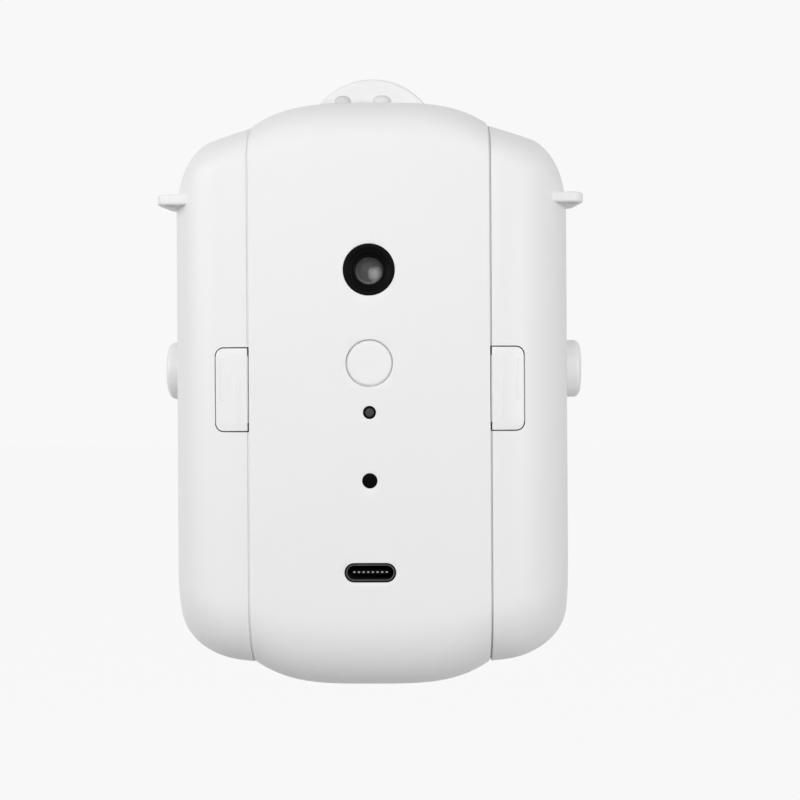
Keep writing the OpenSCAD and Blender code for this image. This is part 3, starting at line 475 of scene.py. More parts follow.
def arc(centre, radius, start, stop, steps):
    """Points of an arc between two angles in degrees, for a profile or an outline."""
    angles = [math.radians(start + (stop - start) * k / steps) for k in range(steps + 1)]
    return [(centre[0] + radius * math.cos(a), centre[1] + radius * math.sin(a)) for a in angles]


print("mesh tools ready")

# %% [markdown]
# ## The shells' rule
#
# A side outline is drawn once. At each place across the body it is stretched to that place's depth, top and
# bottom. Sculpting or subdivision would give a similar bulge, but then the skin would no longer follow the
# CAD. The last fifth of a millimetre before a seam is turned in, so the edge catches light as a moulded edge
# does. A thin lip stands in each seam, as in a real case, where it hides the inside and keeps the dust out.


# %% Outline and lofts
def side_outline(inset, steps=18, spacing=3.0):
    """The closed outline (y, z), drawn in by inset, its flats cut into short pieces."""
    depth, top, bottom = HALF_DEPTH - inset, BODY_TOP - inset, BODY_BOTTOM - inset
    corners = []
    for (half_y, half_z), sy, sz, start in ((BACK_TOP, 1, 1, 0), (FRONT_TOP, -1, 1, 90),
                                            (FRONT_BOTTOM, -1, -1, 180), (BACK_BOTTOM, 1, -1, 270)):
        a, b = half_y - inset, half_z - inset
        centre = (sy * (depth - a), sz * ((top if sz > 0 else bottom) - b))
        angles = [math.radians(start + 90 * k / steps) for k in range(steps + 1)]
        corners.append([(centre[0] + a * math.cos(t), centre[1] + b * math.sin(t)) for t in angles])
    ring = []
    for here, after in zip(corners, corners[1:] + corners[:1]):
        ring += here
        p, q = Vector(here[-1]), Vector(after[0])
        count = max(1, round((q - p).length / spacing))
        ring += [tuple(p.lerp(q, k / count)) for k in range(1, count)]
    return ring


def edge_round(gap, edge):
    """How far a rounded edge of a given radius has turned in, at a distance from where it ends."""
    away = max(0.0, edge - gap)
    return edge - math.sqrt(max(0.0, edge * edge - away * away))


def stretched(ring, x, depth, top, bottom, inset):
    return [(x, y * depth / (HALF_DEPTH - inset),
             z * (top / (BODY_TOP - inset) if z > 0 else bottom / (BODY_BOTTOM - inset))) for y, z in ring]


def centre_loft(name, inset, half_w, edge):
    ring = side_outline(inset)
    near = [half_w - edge * (1 - math.sin(math.radians(15 * k))) for k in range(7)] if edge else [half_w]
    inner = [(half_w - edge) * math.sin(math.radians(90 * k / 16)) for k in range(-15, 16)]
    xs = [-x for x in reversed(near)] + inner + near
    places = [(x, edge_round(half_w - abs(x), edge)) for x in xs]
    if edge:
        lips = {sign: [(sign * x, edge + depth) for x in (half_w, half_w + SEAM_LIP_W)]
                for sign, depth in SEAM_LIP_DEPTH.items()}
        places = lips[-1][::-1] + places + lips[1]
    rings = []
    for x, back in places:
        share = min(abs(x) / SEAM_X, 1.0)
        back += inset
        rings.append(stretched(ring, x, HALF_DEPTH - PANEL_CROWN * share ** 2 - back,
                               BODY_TOP - TOP_DROP * share ** DROP_POWER - back,
                               BODY_BOTTOM - BOTTOM_RISE * share ** DROP_POWER - back, inset))
    return loft(name, rings)


def wing_size(x, start, fall, turn, inset):
    """Depth, top or bottom of a wing at x: it falls slowly, then turns in at the wing's end."""
    end, length = WING_X1 - inset, turn[0] - inset
    t = min(1.0, max(0.0, (x - end + length) / length))
    share = (x - WING_X0) / WING_W
    return start - inset - fall * share - (turn[1] - inset) * (1 - math.sqrt(1 - t * t))


def wing_loft(name, inset, x0, edge, sign):
    ring = side_outline(inset)
    end, length = WING_X1 - inset, WING_DEPTH_TURN[0] - inset
    near = [x0 + edge * (1 - math.cos(math.radians(15 * k))) for k in range(7)] if edge else [x0]
    start = max(end - length, near[-1] + 0.2)
    xs = near + [start + (end - start) * math.sin(math.radians(90 * k / 30)) for k in range(31)]
    rings = []
    for x in xs:
        back = edge_round(x - x0, edge)
        sizes = (wing_size(x, HALF_DEPTH - PANEL_CROWN, WING_DEPTH_FALL, WING_DEPTH_TURN, inset),
                 wing_size(x, BODY_TOP - TOP_DROP - WING_NOTCH, WING_TOP_FALL, WING_TOP_TURN, inset),
                 wing_size(x, BODY_BOTTOM - BOTTOM_RISE, WING_BOTTOM_FALL, WING_BOTTOM_TURN, inset))
        rings.append(stretched(ring, sign * x, *(s - back for s in sizes), inset))
    return loft(name, rings)


print("outline:", len(side_outline(0)), "points")

# %% [markdown]
# ## Front cover
#
# The front half of the centre shell is one moulding: a crowned panel that rolls over at the top and runs out
# at the bottom, with round holes for the sensor, the button, the light and the receiver, and a slot for the
# charging inlet. The holes are cut with turned cutters that flare at the front, which leaves a rounded lip.

# %% Sizes of the openings
SENSOR_Z, SENSOR_R, LENS_R = 22.0, 4.6, 2.55
BUTTON_Z, BUTTON_R, BUTTON_GAP = 5.3, 4.0, 0.22
LED_Z, LED_R = -3.5, 1.12
RECEIVER_Z, RECEIVER_R = -15.7, 1.32
USB_Z, USB_W, USB_H, USB_GAP = -32.1, 8.94, 3.16, 0.15
USB_LIP, USB_LIP_DROP = 0.3, 0.7
TRIM_FIT = 0.05
CUTTER_START, FLARE_START = FRONT_Y - 1.5, FRONT_Y - 0.013
WHEEL_R, WHEEL_HALF_W, SLOT_GAP = 13.2, 5.0, 0.8
AXIS_Z = -MID_Z - WHEEL_R
ROD_Y, ROD_ZS, ROD_BUSH_R, ROD_HOLE_XS = -6.0, (10.0, -34.0), 3.0, (19.0, 22.6)
TAB_Z, TAB_W, TAB_H, TAB_CORNER, TAB_BACK_Y = 0.7, 5.7, 14.8, 1.4, -20.8
LATCH_DEPTH, LATCH_YS, LATCH_HALF_H = 1.2, (-21.0, -18.2), 1.8
LIP_BREAK_X, LIP_BREAK_Y = SEAM_X + 0.004, TAB_BACK_Y + 0.3
HEADS = {"top_screw": (-5.3, 1.55), "top_pin": (2.1, 1.75)}
HEAD_Y, HEAD_SEAT_Z, HEAD_H = -9.8, BODY_TOP - 0.9, 1.8
HEAD_HOLE_R, HEAD_HOLE_Z, HEAD_SEAT_R = 1.0, 46.3, 2.0


def lip_profile(radius, lip, y_end, steps=5):
    """Profile of a hole cutter along Y that flares by lip at the panel."""
    depths = [lip * k / steps for k in range(steps + 1)]
    turned = [(radius + edge_round(depth, lip), FLARE_START + depth) for depth in depths]
    return [(radius + lip, CUTTER_START)] + turned + [(radius, y_end)]


def stadium(width, height, z, steps=14):
    """Outline function of a slot with round ends, for bar()."""
    def outline(grow):
        end = arc(((width - height) / 2, 0), height / 2 + grow, -90, 90, steps)
        return [(x, z + dz) for x, dz in end] + [(-x, z - dz) for x, dz in end]
    return outline


print("openings:", 5, "in the panel")


# %% Front cover
def front_cutters():
    inner_front, slot_x = FRONT_Y + WALL, WHEEL_R + SLOT_GAP
    cutters = [centre_loft("hollow", WALL, SEAM_X - SIDE_WALL, 0),
               block("back_half", (-FAR, SPLIT_Y - SPLIT_GAP, -FAR_Z), (FAR, FAR, FAR_Z)),
               block("wheel_slot", (-slot_x, -WHEEL_HALF_W - SLOT_GAP, AXIS_Z), (slot_x, SPLIT_Y + 1, FAR_Z))]
    for radius, z, lip in ((SENSOR_R + TRIM_FIT, SENSOR_Z, 0.12), (BUTTON_R + BUTTON_GAP, BUTTON_Z, 0.16),
                           (LED_R + TRIM_FIT, LED_Z, 0.1), (RECEIVER_R + TRIM_FIT, RECEIVER_Z, 0.1)):
        cutters.append(lathe("hole", lip_profile(radius, lip, inner_front + 1), (0, 0, z), "Y", 96))
    width, height = USB_W + 2 * USB_GAP, USB_H + 2 * USB_GAP
    rings = []
    for grow, y in lip_profile(0, USB_LIP, inner_front + 3):
        outline = stadium(width, height, USB_Z - USB_LIP_DROP * grow)
        rings.append([(x, y, z) for x, z in outline(grow)])
    cutters.append(loft("inlet", rings))
    for sign in (-1, 1):
        rod_hole = [(ROD_BUSH_R, x) for x in mirrored(sign, *ROD_HOLE_XS)]
        cutters += [lathe("rod_hole", rod_hole, (0, ROD_Y, z), "X", 48) for z in ROD_ZS]
        cutters.append(side_block("latch_pocket", sign, (SEAM_X - LATCH_DEPTH, SEAM_X + 1), LATCH_YS,
                                  about(TAB_Z, LATCH_HALF_H)))
        cutters.append(side_block("lip_break", sign, (LIP_BREAK_X, SEAM_X + 1), (FRONT_Y - 1, LIP_BREAK_Y),
                                  about(TAB_Z, TAB_H / 2 + BUTTON_GAP)))
    seat = [(HEAD_HOLE_R, HEAD_HOLE_Z), (HEAD_HOLE_R, HEAD_SEAT_Z), (HEAD_SEAT_R, HEAD_SEAT_Z),
            (HEAD_SEAT_R, FAR_Z)]
    return cutters + [lathe("head_seat", seat, (x, HEAD_Y, 0), "Z", 48) for x, _ in HEADS.values()]


POST_R, LOW_POST_TOP = 2.8, -45.9
BOARD_BOSS_R, BOARD_BOSS_X, BOARD_BOSS_YS, BOARD_BOSS_ZS = 2.4, 13.5, (-23.8, -17.0), (-33, 25)
CASE_BOSS_XS, CASE_BOSS_YS, CASE_BOSS_ZS = (13.6, 20.4), (-5, 5.7), (34.5, 40.1)
LOW_BOSS_YS, LOW_BOSS_ZS = (-6, 5.7), (1.1 - BODY_BOTTOM, LOW_POST_TOP)
front_cover = carve(centre_loft("front_shell", 0, SEAM_X, SEAM_EDGE), front_cutters())
bosses = [lathe("boss", [(BOARD_BOSS_R, y) for y in BOARD_BOSS_YS], (sign * BOARD_BOSS_X, 0, z), "Y", 32)
          for sign in (-1, 1) for z in BOARD_BOSS_ZS]
bosses += [side_block("boss", sign, CASE_BOSS_XS, CASE_BOSS_YS, CASE_BOSS_ZS) for sign in (-1, 1)]
bosses.append(block("boss", *zip(about(0, POST_R), LOW_BOSS_YS, LOW_BOSS_ZS)))
merge(front_cover, bosses)
hand_over(dress(front_cover, SHELL_WHITE), "body", "white_shell", "front_cover")

# %% [markdown]
# ## Back cover
#
# The rear half isn't in the picture. It is the same loft, cut at the parting line, with three deep holes for
# the screws that close the case.

# %% Back cover
CASE_SCREWS = [(-16.4, 37.3, 21.5), (16.4, 37.3, 21.5), (0.0, -48.7, 19.8)]
SCREW_HOLE_R, SCREW_SEAT_R, SCREW_HOLE_YS = 1.35, 2.4, (5.0, 27.0)
POST_YS, LOW_POST_Y = (8.4, 23.4), 21.8


def screw_hole(x, z, seat):
    """Cutter of a stepped hole for a case screw and its head."""
    first, last = SCREW_HOLE_YS
    steps = [(SCREW_HOLE_R, first), (SCREW_HOLE_R, seat), (SCREW_SEAT_R, seat), (SCREW_SEAT_R, last)]
    return lathe("screw_hole", steps, (x, 0, z), "Y", 48)


def screw_post(x, z, seat):
    """The sleeve around an upper screw hole, a hair wider inside than the hole."""
    first, last = POST_YS
    bore_r = SCREW_SEAT_R + 0.01
    ring = [(SCREW_HOLE_R, first), (POST_R, first), (POST_R, last), (bore_r, last), (bore_r, seat),
            (SCREW_HOLE_R, seat)]
    return lathe("post", ring, (x, 0, z), "Y", 48, True)


low_post = block("post", (-POST_R, SPLIT_Y + SPLIT_GAP, -FAR), (POST_R, LOW_POST_Y, LOW_POST_TOP))
carve(low_post, [centre_loft("keep", KEEP_INSET, SEAM_X - SIDE_WALL, 0)], "INTERSECT")
carve(low_post, [screw_hole(*CASE_SCREWS[2])])
back_cutters = [centre_loft("hollow", WALL, SEAM_X - SIDE_WALL, 0),
                block("front_half", (-FAR, -FAR, -FAR_Z), (FAR, SPLIT_Y + SPLIT_GAP, FAR_Z))]
back_cutters += [screw_hole(*screw) for screw in CASE_SCREWS]
back_cover = carve(centre_loft("back_shell", 0, SEAM_X, SEAM_EDGE), back_cutters)
merge(back_cover, [low_post] + [screw_post(*screw) for screw in CASE_SCREWS[:2]])
hand_over(dress(back_cover, SHELL_WHITE), "body", "white_shell", "back_cover")

# %% [markdown]
# ## Wings
#
# Each wing is a shell that is open towards the seam. It carries a flat eyelet for the first curtain hook, a
# round hole for the side button and a notch for the release tab. The eyelet is a rounded plate that is
# joined to the wing before the wing is hollowed, so that it grows out of the wall as in a mould.

# %% Sizes of the wings
EYELET_Y, EYELET_Z, EYELET_T = -17.5, 35.5, 1.9
EYELET_X, EYELET_HOLE_R, EYELET_TIP_R = 36.7, 1.25, 2.3
EYELET_ROOT_X, EYELET_BACK, EYELET_BACK_R = 32.5, (34.6, 5.7), 3.5
HOOK_LIP = 0.3
KNOB_Z, KNOB_R, KNOB_PROUD, KNOB_LIP = 4.7, 5.55, 3.5, 0.15
WING_POST_R, WING_POST_X, WING_POST_Y, WING_POST_ZS = 2.4, 23.4, 9, (24, -27)
TAB_X1 = WING_X0 + TAB_W
SIDES = (("left", -1), ("right", 1))


def eyelet_outline(shrink, steps=28):
    """Plan of the eyelet: a level front edge, a round tip and a wider round behind, joined by a tangent."""
    dx, dy = EYELET_BACK[0] - EYELET_X, EYELET_BACK[1]
    turn = math.atan2(dy, dx) - math.acos((EYELET_TIP_R - EYELET_BACK_R) / math.hypot(dx, dy))
    points = arc((EYELET_X, 0), EYELET_TIP_R - shrink, -90, math.degrees(turn), steps)
    points += arc(EYELET_BACK, EYELET_BACK_R - shrink, math.degrees(turn), 90, steps)
    return [(EYELET_ROOT_X, points[0][1])] + points + [(EYELET_ROOT_X, points[-1][1])]


def eyelet_plate(sign, edge=0.45, steps=5):
    """The eyelet with its rim rounded over."""
    rings = []
    for side in (-1, 1):
        for k in range(steps + 1):
            a = math.radians(90 * (k if side > 0 else steps - k) / steps)
            z = EYELET_Z + side * (EYELET_T / 2 - edge + edge * math.sin(a))
            rings.append([(sign * x, EYELET_Y + y, z) for x, y in eyelet_outline(edge * (1 - math.cos(a)))])
    return loft("eyelet", rings)


def tab_outline(sign, x0):
    """Outline function of a release tab: square at the seam, round at its outer corners."""
    def outline(grow, steps=8):
        points = [(x0, TAB_Z - TAB_H / 2 - grow)]
        for start, up in ((-90, -1), (0, 1)):
            centre = (TAB_X1 - TAB_CORNER, TAB_Z + up * (TAB_H / 2 - TAB_CORNER))
            points += arc(centre, TAB_CORNER + grow, start, start + 90, steps)
        points.append((x0, TAB_Z + TAB_H / 2 + grow))
        return [(sign * x, z) for x, z in points]
    return outline


print("eyelet:", len(eyelet_outline(0)), "points in plan")


# %% Both wings
def wing_cutters(sign, steps=5):
    depths = [HOOK_LIP * k / steps for k in range(steps + 1)]
    half = [(EYELET_HOLE_R + HOOK_LIP, 3)]
    half += [(EYELET_HOLE_R + edge_round(depth, HOOK_LIP), EYELET_T / 2 - depth) for depth in depths]
    hole = [(r, EYELET_Z - d) for r, d in half] + [(r, EYELET_Z + d) for r, d in reversed(half)]
    knob_r = KNOB_R + BUTTON_GAP
    knob = [(knob_r, WING_X1 - WALL - 1), (knob_r, WING_X1 - KNOB_LIP),
            (knob_r + KNOB_LIP, WING_X1), (knob_r + KNOB_LIP, WING_X1 + 1)]
    notch = [(FRONT_Y - 2, BUTTON_GAP), (TAB_BACK_Y, BUTTON_GAP)]
    return [wing_loft("hollow", WALL, WING_X0 - 1, 0, sign),
            lathe("hook_hole", hole, (sign * EYELET_X, EYELET_Y, 0), "Z", 64),
            lathe("knob_hole", [(r, sign * x) for r, x in knob], (0, 0, KNOB_Z), "X", 96),
            bar("notch", tab_outline(sign, WING_X0 - 1), notch)]


def post_in_wing(sign, z):
    """A screw post behind the wing plate, trimmed to the inside of the wall."""
    ends = [(WING_POST_R, x) for x in mirrored(sign, WING_POST_X, WING_X1)]
    post = lathe("wing_post", ends, (0, WING_POST_Y, z), "X", 40)
    return carve(post, [wing_loft("keep", KEEP_INSET, WING_X0, 0, sign)], "INTERSECT")


for side, sign in SIDES:
    wing = wing_loft(side + "_wing_shell", 0, WING_X0, SEAM_EDGE, sign)
    carve(wing, [eyelet_plate(sign)], "UNION")
    carve(wing, wing_cutters(sign))
    merge(wing, [post_in_wing(sign, z) for z in WING_POST_ZS])
    hand_over(dress(wing, SHELL_WHITE), side + "_wing_unit", "white_shell", side + "_wing")

# %% [markdown]
# ## Geometry Nodes in code
#
# What repeats on this robot is made by node trees: grip ribs, contacts, screws and the turns of a spring. A
# tree is a recipe with named inputs, so the same one serves the left and the right side. It is run once,
# turned into a plain mesh, and its modifier is taken off, because an exported model holds no recipes.


# %% Node tree helpers
def new_tree(name, inputs):
    """A geometry tree with named inputs, and wires from each of them."""
    tree = bpy.data.node_groups.new(name, "GeometryNodeTree")
    tree.interface.new_socket("Geometry", in_out="INPUT", socket_type="NodeSocketGeometry")
    for label, kind in inputs:
        tree.interface.new_socket(label, in_out="INPUT", socket_type="NodeSocket" + kind)
    tree.interface.new_socket("Geometry", in_out="OUTPUT", socket_type="NodeSocketGeometry")
    entry = tree.nodes.new("NodeGroupInput")
    return tree, {socket.name: Wire(tree, socket) for socket in entry.outputs if socket.name}


def close_tree(tree, shape, finish):
    """Ends a tree in Realize Instances and Set Material."""
    real = shape.node("GeometryNodeRealizeInstances", {}, {0: shape})
    dressed = real.node("GeometryNodeSetMaterial", {}, {"Geometry": real, "Material": finish})
    leave = tree.nodes.new("NodeGroupOutput")
    tree.links.new(dressed.socket, leave.inputs[0])
    return tree


def run_tree(piece, tree, **values):
    """Runs a tree on a piece with its inputs set by their identifiers, and makes the result real."""
    modifier = piece.modifiers.new(tree.name, "NODES")
    modifier.node_group = tree
    for item in tree.interface.items_tree:
        if item.in_out == "INPUT" and item.name in values:
            modifier[item.identifier] = values[item.name]
    return made_real(piece)


def empty_mesh(name):
    return to_object(name, bpy.data.meshes.new(name))


def placed(x, y, z):
    """A point about the mid-line, in metres of the frame."""
    return (x * MM, y * MM, (z + MID_Z) * MM)


print("trees can be built")

# %% [markdown]
# ## Release tabs
#
# A tab is a piece of the wing's own skin, cut loose by a thin gap, so it is made by keeping what the wing and
# a bar of the tab's outline share. Three low ribs, each ending a little higher than the last, give the thumb
# its grip. The flange behind keeps the tab from falling out, and the nose reaches into the body.
# A low rim, set about half a millimetre back, narrows the gap at the seam and at the outer side.


# %% Rib tree
def rib_tree():
    tree, sizes = new_tree("grip_ribs", [("Count", "Int"), ("First", "Vector"), ("Step", "Vector"),
                                         ("Rib Size", "Vector"), ("Finish", "Material")])
    line = sizes["Count"].node("GeometryNodeMeshLine", {"mode": "OFFSET"},
                               {"Count": sizes["Count"], "Start Location": sizes["First"],
                                "Offset": sizes["Step"]})
    rib = line.node("GeometryNodeMeshCube", {},
                    {"Size": sizes["Rib Size"], "Vertices X": 3, "Vertices Y": 3, "Vertices Z": 12})
    soft = rib.node("GeometryNodeSubdivisionSurface", {}, {"Mesh": rib, "Level": 2})
    row = line.node("GeometryNodeInstanceOnPoints", {}, {"Points": line, "Instance": soft})
    joined = row.node("GeometryNodeJoinGeometry")
    for wire in (row, sizes["Geometry"]):
        tree.links.new(wire.socket, joined.socket.node.inputs[0])
    return close_tree(tree, joined, sizes["Finish"])


GRIP_RIBS = rib_tree()
RIB_COUNT, RIB_FIRST_X, RIB_PITCH, RIB_LOW_Z, RIB_RISE = 3, 1.6, 1.45, -5.0, 1.85
RIB_W, RIB_PROUD, RIB_LEN = 0.55, 0.1, 7.6


def wing_front(x):
    """How far forward a wing's skin lies at x, beside the middle of its height."""
    return -wing_size(x, HALF_DEPTH - PANEL_CROWN, WING_DEPTH_FALL, WING_DEPTH_TURN, 0)


print("rib tree:", len(GRIP_RIBS.nodes), "nodes")

# %% Both release tabs
RIM_W, RIM_DEPTH, RIM_BACK_Y = 0.16, 0.45, TAB_BACK_Y - 2.0
TAB_SOFT, TAB_SOFT_ANGLE = 0.16, 50
FLANGE_Y, FLANGE_HALF_H, NOSE_X, NOSE_HALF_H = -19.6, 8.4, 20.6, 1.6
for side, sign in SIDES:
    tab = wing_loft(side + "_tab", 0, WING_X0, SEAM_EDGE, sign)
    carve(tab, [bar("tab_bar", tab_outline(sign, WING_X0), [(FRONT_Y - 2, 0), (TAB_BACK_Y, 0)])], "INTERSECT")
    soften(tab, TAB_SOFT, TAB_SOFT_ANGLE)
    rim = wing_loft("rim", RIM_DEPTH, WING_X0 - 1, 0, sign)
    rim_box = side_block("rim_box", sign, (WING_X0 - RIM_W, TAB_X1 + RIM_W), (FRONT_Y - 1, RIM_BACK_Y),
                         about(TAB_Z, TAB_H / 2 - TAB_CORNER))
    carve(tab, [carve(rim, [rim_box], "INTERSECT")], "UNION")
    behind = (TAB_BACK_Y, FLANGE_Y)
    merge(tab, [side_block("flange", sign, (WING_X0, TAB_X1 + 1), behind, about(TAB_Z, FLANGE_HALF_H)),
                side_block("nose", sign, (NOSE_X, WING_X0 + 1), behind, about(TAB_Z, NOSE_HALF_H))])
    first = WING_X0 + RIB_FIRST_X
    last = first + RIB_PITCH * (RIB_COUNT - 1)
    fall = (wing_front(last) - wing_front(first)) / (RIB_COUNT - 1)
    run_tree(tab, GRIP_RIBS, Count=RIB_COUNT, Finish=SMOOTH_WHITE,
             First=placed(sign * first, wing_front(first), RIB_LOW_Z + RIB_LEN / 2),
             Step=(sign * RIB_PITCH * MM, fall * MM, RIB_RISE * MM),
             **{"Rib Size": (RIB_W * MM, 2 * RIB_PROUD * MM, RIB_LEN * MM)})
    hand_over(dress(tab, SMOOTH_WHITE), side + "_tab", "white_button", side + "_release_tab")

# %% [markdown]
# ## Buttons
#
# The button on the panel and the two on the sides are turned shapes: a face with a soft edge, a collar behind
# the wall that stops them from falling out, and a stem. A lathe profile is the plainest way to draw them. The
# panel's button has the same low rim as the tabs, so its gap is shallow and reads as a soft grey ring.

# %% Main button and side buttons
BUTTON_EDGE, BUTTON_STEM_R, BUTTON_STEM_Y, FLANGE_T = 0.35, 1.5, -21.0, 0.8
face_y, stop_y = FRONT_Y + 0.05, FRONT_Y + WALL + 0.2
rim_r, rim_y, stop_r = BUTTON_R + RIM_W, face_y + RIM_DEPTH, BUTTON_R + 1
cap = [(0, face_y + 0.03), (1.6, face_y + 0.025), (3.2, face_y + 0.005)]
cap += arc((BUTTON_R - BUTTON_EDGE, face_y + BUTTON_EDGE), BUTTON_EDGE, -90, 0, 6)
cap += [(BUTTON_R, rim_y), (rim_r, rim_y + 0.04), (rim_r, stop_y), (stop_r, stop_y),
        (stop_r, stop_y + FLANGE_T), (BUTTON_STEM_R, stop_y + FLANGE_T), (BUTTON_STEM_R, BUTTON_STEM_Y),
        (0, BUTTON_STEM_Y)]
button = lathe("panel_button", cap, (0, 0, BUTTON_Z), "Y", 128)
hand_over(dress(button, SMOOTH_WHITE), "button", "white_button", "main_button")

KNOB_EDGE, KNOB_DISH_R, KNOB_DISH = 1.2, 3.9, 0.14
KNOB_STOP_R, KNOB_STOP_X0, KNOB_STOP_X1 = KNOB_R + 1.1, 33.1, 34.3
KNOB_STEM_R, KNOB_STEM_X = 2.0, 25.7
out = WING_X1 + KNOB_PROUD
cap = [(0, out - KNOB_DISH), (KNOB_DISH_R - 0.25, out - KNOB_DISH), (KNOB_DISH_R, out - KNOB_DISH / 2),
       (KNOB_DISH_R + 0.2, out)]
cap += arc((KNOB_R - KNOB_EDGE, out - KNOB_EDGE), KNOB_EDGE, 90, 0, 9)
cap += [(KNOB_R, KNOB_STOP_X1), (KNOB_STOP_R, KNOB_STOP_X1), (KNOB_STOP_R, KNOB_STOP_X0),
        (KNOB_STEM_R, KNOB_STOP_X0), (KNOB_STEM_R, KNOB_STEM_X), (0, KNOB_STEM_X)]
for side, sign in SIDES:
    knob = lathe(side + "_knob_cap", [(r, sign * x) for r, x in cap], (0, 0, KNOB_Z), "X", 128)
    hand_over(dress(knob, SMOOTH_WHITE), side + "_knob", "white_button", side + "_side_button")

# %% [markdown]
# ## The wheel
#
# Only the crown of the wheel stands out of the top. The tyre is a white rubber ring with small rounded
# shoulders, the hub a moulded disc with a shallow web. Both are turned about the shaft.

# %% Tyre and hub
TYRE_T, TYRE_EDGE = 2.4, 0.7
HUB_BORE_R, HUB_BOSS_R, HUB_WEB_R, HUB_RIM_R = 1.5, 3.7, 4.2, 6.7
hub_r, half_w = WHEEL_R - TYRE_T, WHEEL_HALF_W
shoulder = arc((WHEEL_R - TYRE_EDGE, half_w - TYRE_EDGE), TYRE_EDGE, 90, 0, 8)
tread = shoulder + [(WHEEL_R, half_w * (0.6 - 0.3 * k)) for k in range(5)]
tread += [(r, -d) for r, d in reversed(shoulder)]
tyre = lathe("wheel_tyre", tread + [(hub_r, -half_w), (hub_r, half_w)], (0, 0, AXIS_Z), "Y", 160, True)
hand_over(dress(tyre, RUBBER_WHITE), "drive_wheel", "white_rubber", "drive_tyre")

boss, web, rim = half_w + 0.6, half_w - 1.0, half_w - 0.03
half_hub = [(HUB_BORE_R, boss), (HUB_BOSS_R - 0.1, boss), (HUB_BOSS_R, boss - 0.1), (HUB_BOSS_R, web + 0.2),
            (HUB_WEB_R, web), (HUB_RIM_R - 0.5, web), (HUB_RIM_R, rim), (hub_r, rim)]
hub = lathe("wheel_disc", half_hub + [(r, -d) for r, d in reversed(half_hub)], (0, 0, AXIS_Z), "Y", 128, True)
hand_over(dress(hub, RUBBER_WHITE), "drive_wheel", "white_button", "wheel_hub")

# %% [markdown]
# ## Light sensor, indicator and receiver
#
# The sensor looks out of a black funnel with a dark domed lens at its foot. Below it sit a grey light pipe,
# with a black ring around it that paints the shade in the gap there, and a small black window. All are
# turned, and they are set a hair behind or before the panel as in the real moulding, where each is pressed in
# from behind.

# %% Sensor ring and lens
RING_EDGE, TUBE_R, TUBE_Y, STOP_R = 0.25, LENS_R + 0.8, -18.7, LENS_R - 0.4
ring_y, seat_y = FRONT_Y - 0.1, FRONT_Y + WALL + TRIM_FIT
lens_y, lens_back = ring_y + 1.5, ring_y + 2.9
ring = [(SENSOR_R, seat_y)] + arc((SENSOR_R - RING_EDGE, ring_y + RING_EDGE), RING_EDGE, 0, -90, 6)
ring += [(SENSOR_R - 0.6, ring_y), (SENSOR_R - 0.72, ring_y + 0.06), (3.3, ring_y + 0.75),
         (3.1, ring_y + 0.8), (2.9, ring_y + 1.1), (LENS_R + 0.02, ring_y + 1.2), (LENS_R + 0.01, lens_back),
         (STOP_R, lens_back), (STOP_R, TUBE_Y), (TUBE_R, TUBE_Y), (TUBE_R, seat_y + FLANGE_T),
         (SENSOR_R + 1, seat_y + FLANGE_T), (SENSOR_R + 1, seat_y)]
bezel = lathe("sensor_ring", ring, (0, 0, SENSOR_Z), "Y", 128, True)
hand_over(dress(bezel, BLACK_SATIN), "body", "black_plastic", "sensor_bezel")

LENS_DARK = lens_glass((SENSOR_Z + MID_Z) * MM, LENS_R * MM)
dome = [(LENS_R * k / 12, lens_y + 0.6 * (k / 12) ** 2) for k in range(13)]
lens = lathe("sensor_dome", dome + [(LENS_R, lens_back), (0, lens_back)], (0, 0, SENSOR_Z), "Y", 96)
hand_over(dress(lens, LENS_DARK), "body", "dark_lens", "sensor_lens")

# %% Light pipe and receiver window
SHADE_RING_R, SHADE_RING_Y = 0.84, FRONT_Y + 0.9
EYE_EDGE, EYE_STOP, EYE_END_Y = 0.18, 0.8, -18.4
for name, radius, face_r, z, sunk, finish, slot, node in (
        ("light_pipe", LED_R, SHADE_RING_R - 0.02, LED_Z, 0.15, PIPE_GREY, "indicator_grey", "led_light_pipe"),
        ("receiver_eye", RECEIVER_R, RECEIVER_R, RECEIVER_Z, 0.12, WINDOW_BLACK, "black_plastic",
         "receiver_window")):
    y, stop = FRONT_Y + sunk, radius + EYE_STOP
    shape = [(0, y - 0.04), (face_r * 0.5, y - 0.03)]
    shape += arc((face_r - EYE_EDGE, y + EYE_EDGE), EYE_EDGE, -90, 0, 5)
    shape += [(face_r, SHADE_RING_Y), (radius, SHADE_RING_Y + 0.02), (radius, seat_y), (stop, seat_y),
              (stop, seat_y + FLANGE_T), (radius, seat_y + FLANGE_T), (radius, EYE_END_Y), (0, EYE_END_Y)]
    eye = lathe(name, shape, (0, 0, z), "Y", 72)
    hand_over(dress(eye, finish), "body", slot, node)
# This black ring around the light pipe's face paints the shade of the gap around the pipe.
ring = [(SHADE_RING_R, SHADE_RING_Y), (SHADE_RING_R, FRONT_Y + 0.12), (SHADE_RING_R + 0.06, FRONT_Y + 0.06),
        (LED_R - 0.04, FRONT_Y + 0.06), (LED_R, FRONT_Y + 0.1), (LED_R, SHADE_RING_Y)]
shade_ring = lathe("pipe_shade_ring", ring, (0, 0, LED_Z), "Y", 72, True)
hand_over(dress(shade_ring, BLACK_SATIN), "body", "black_plastic")
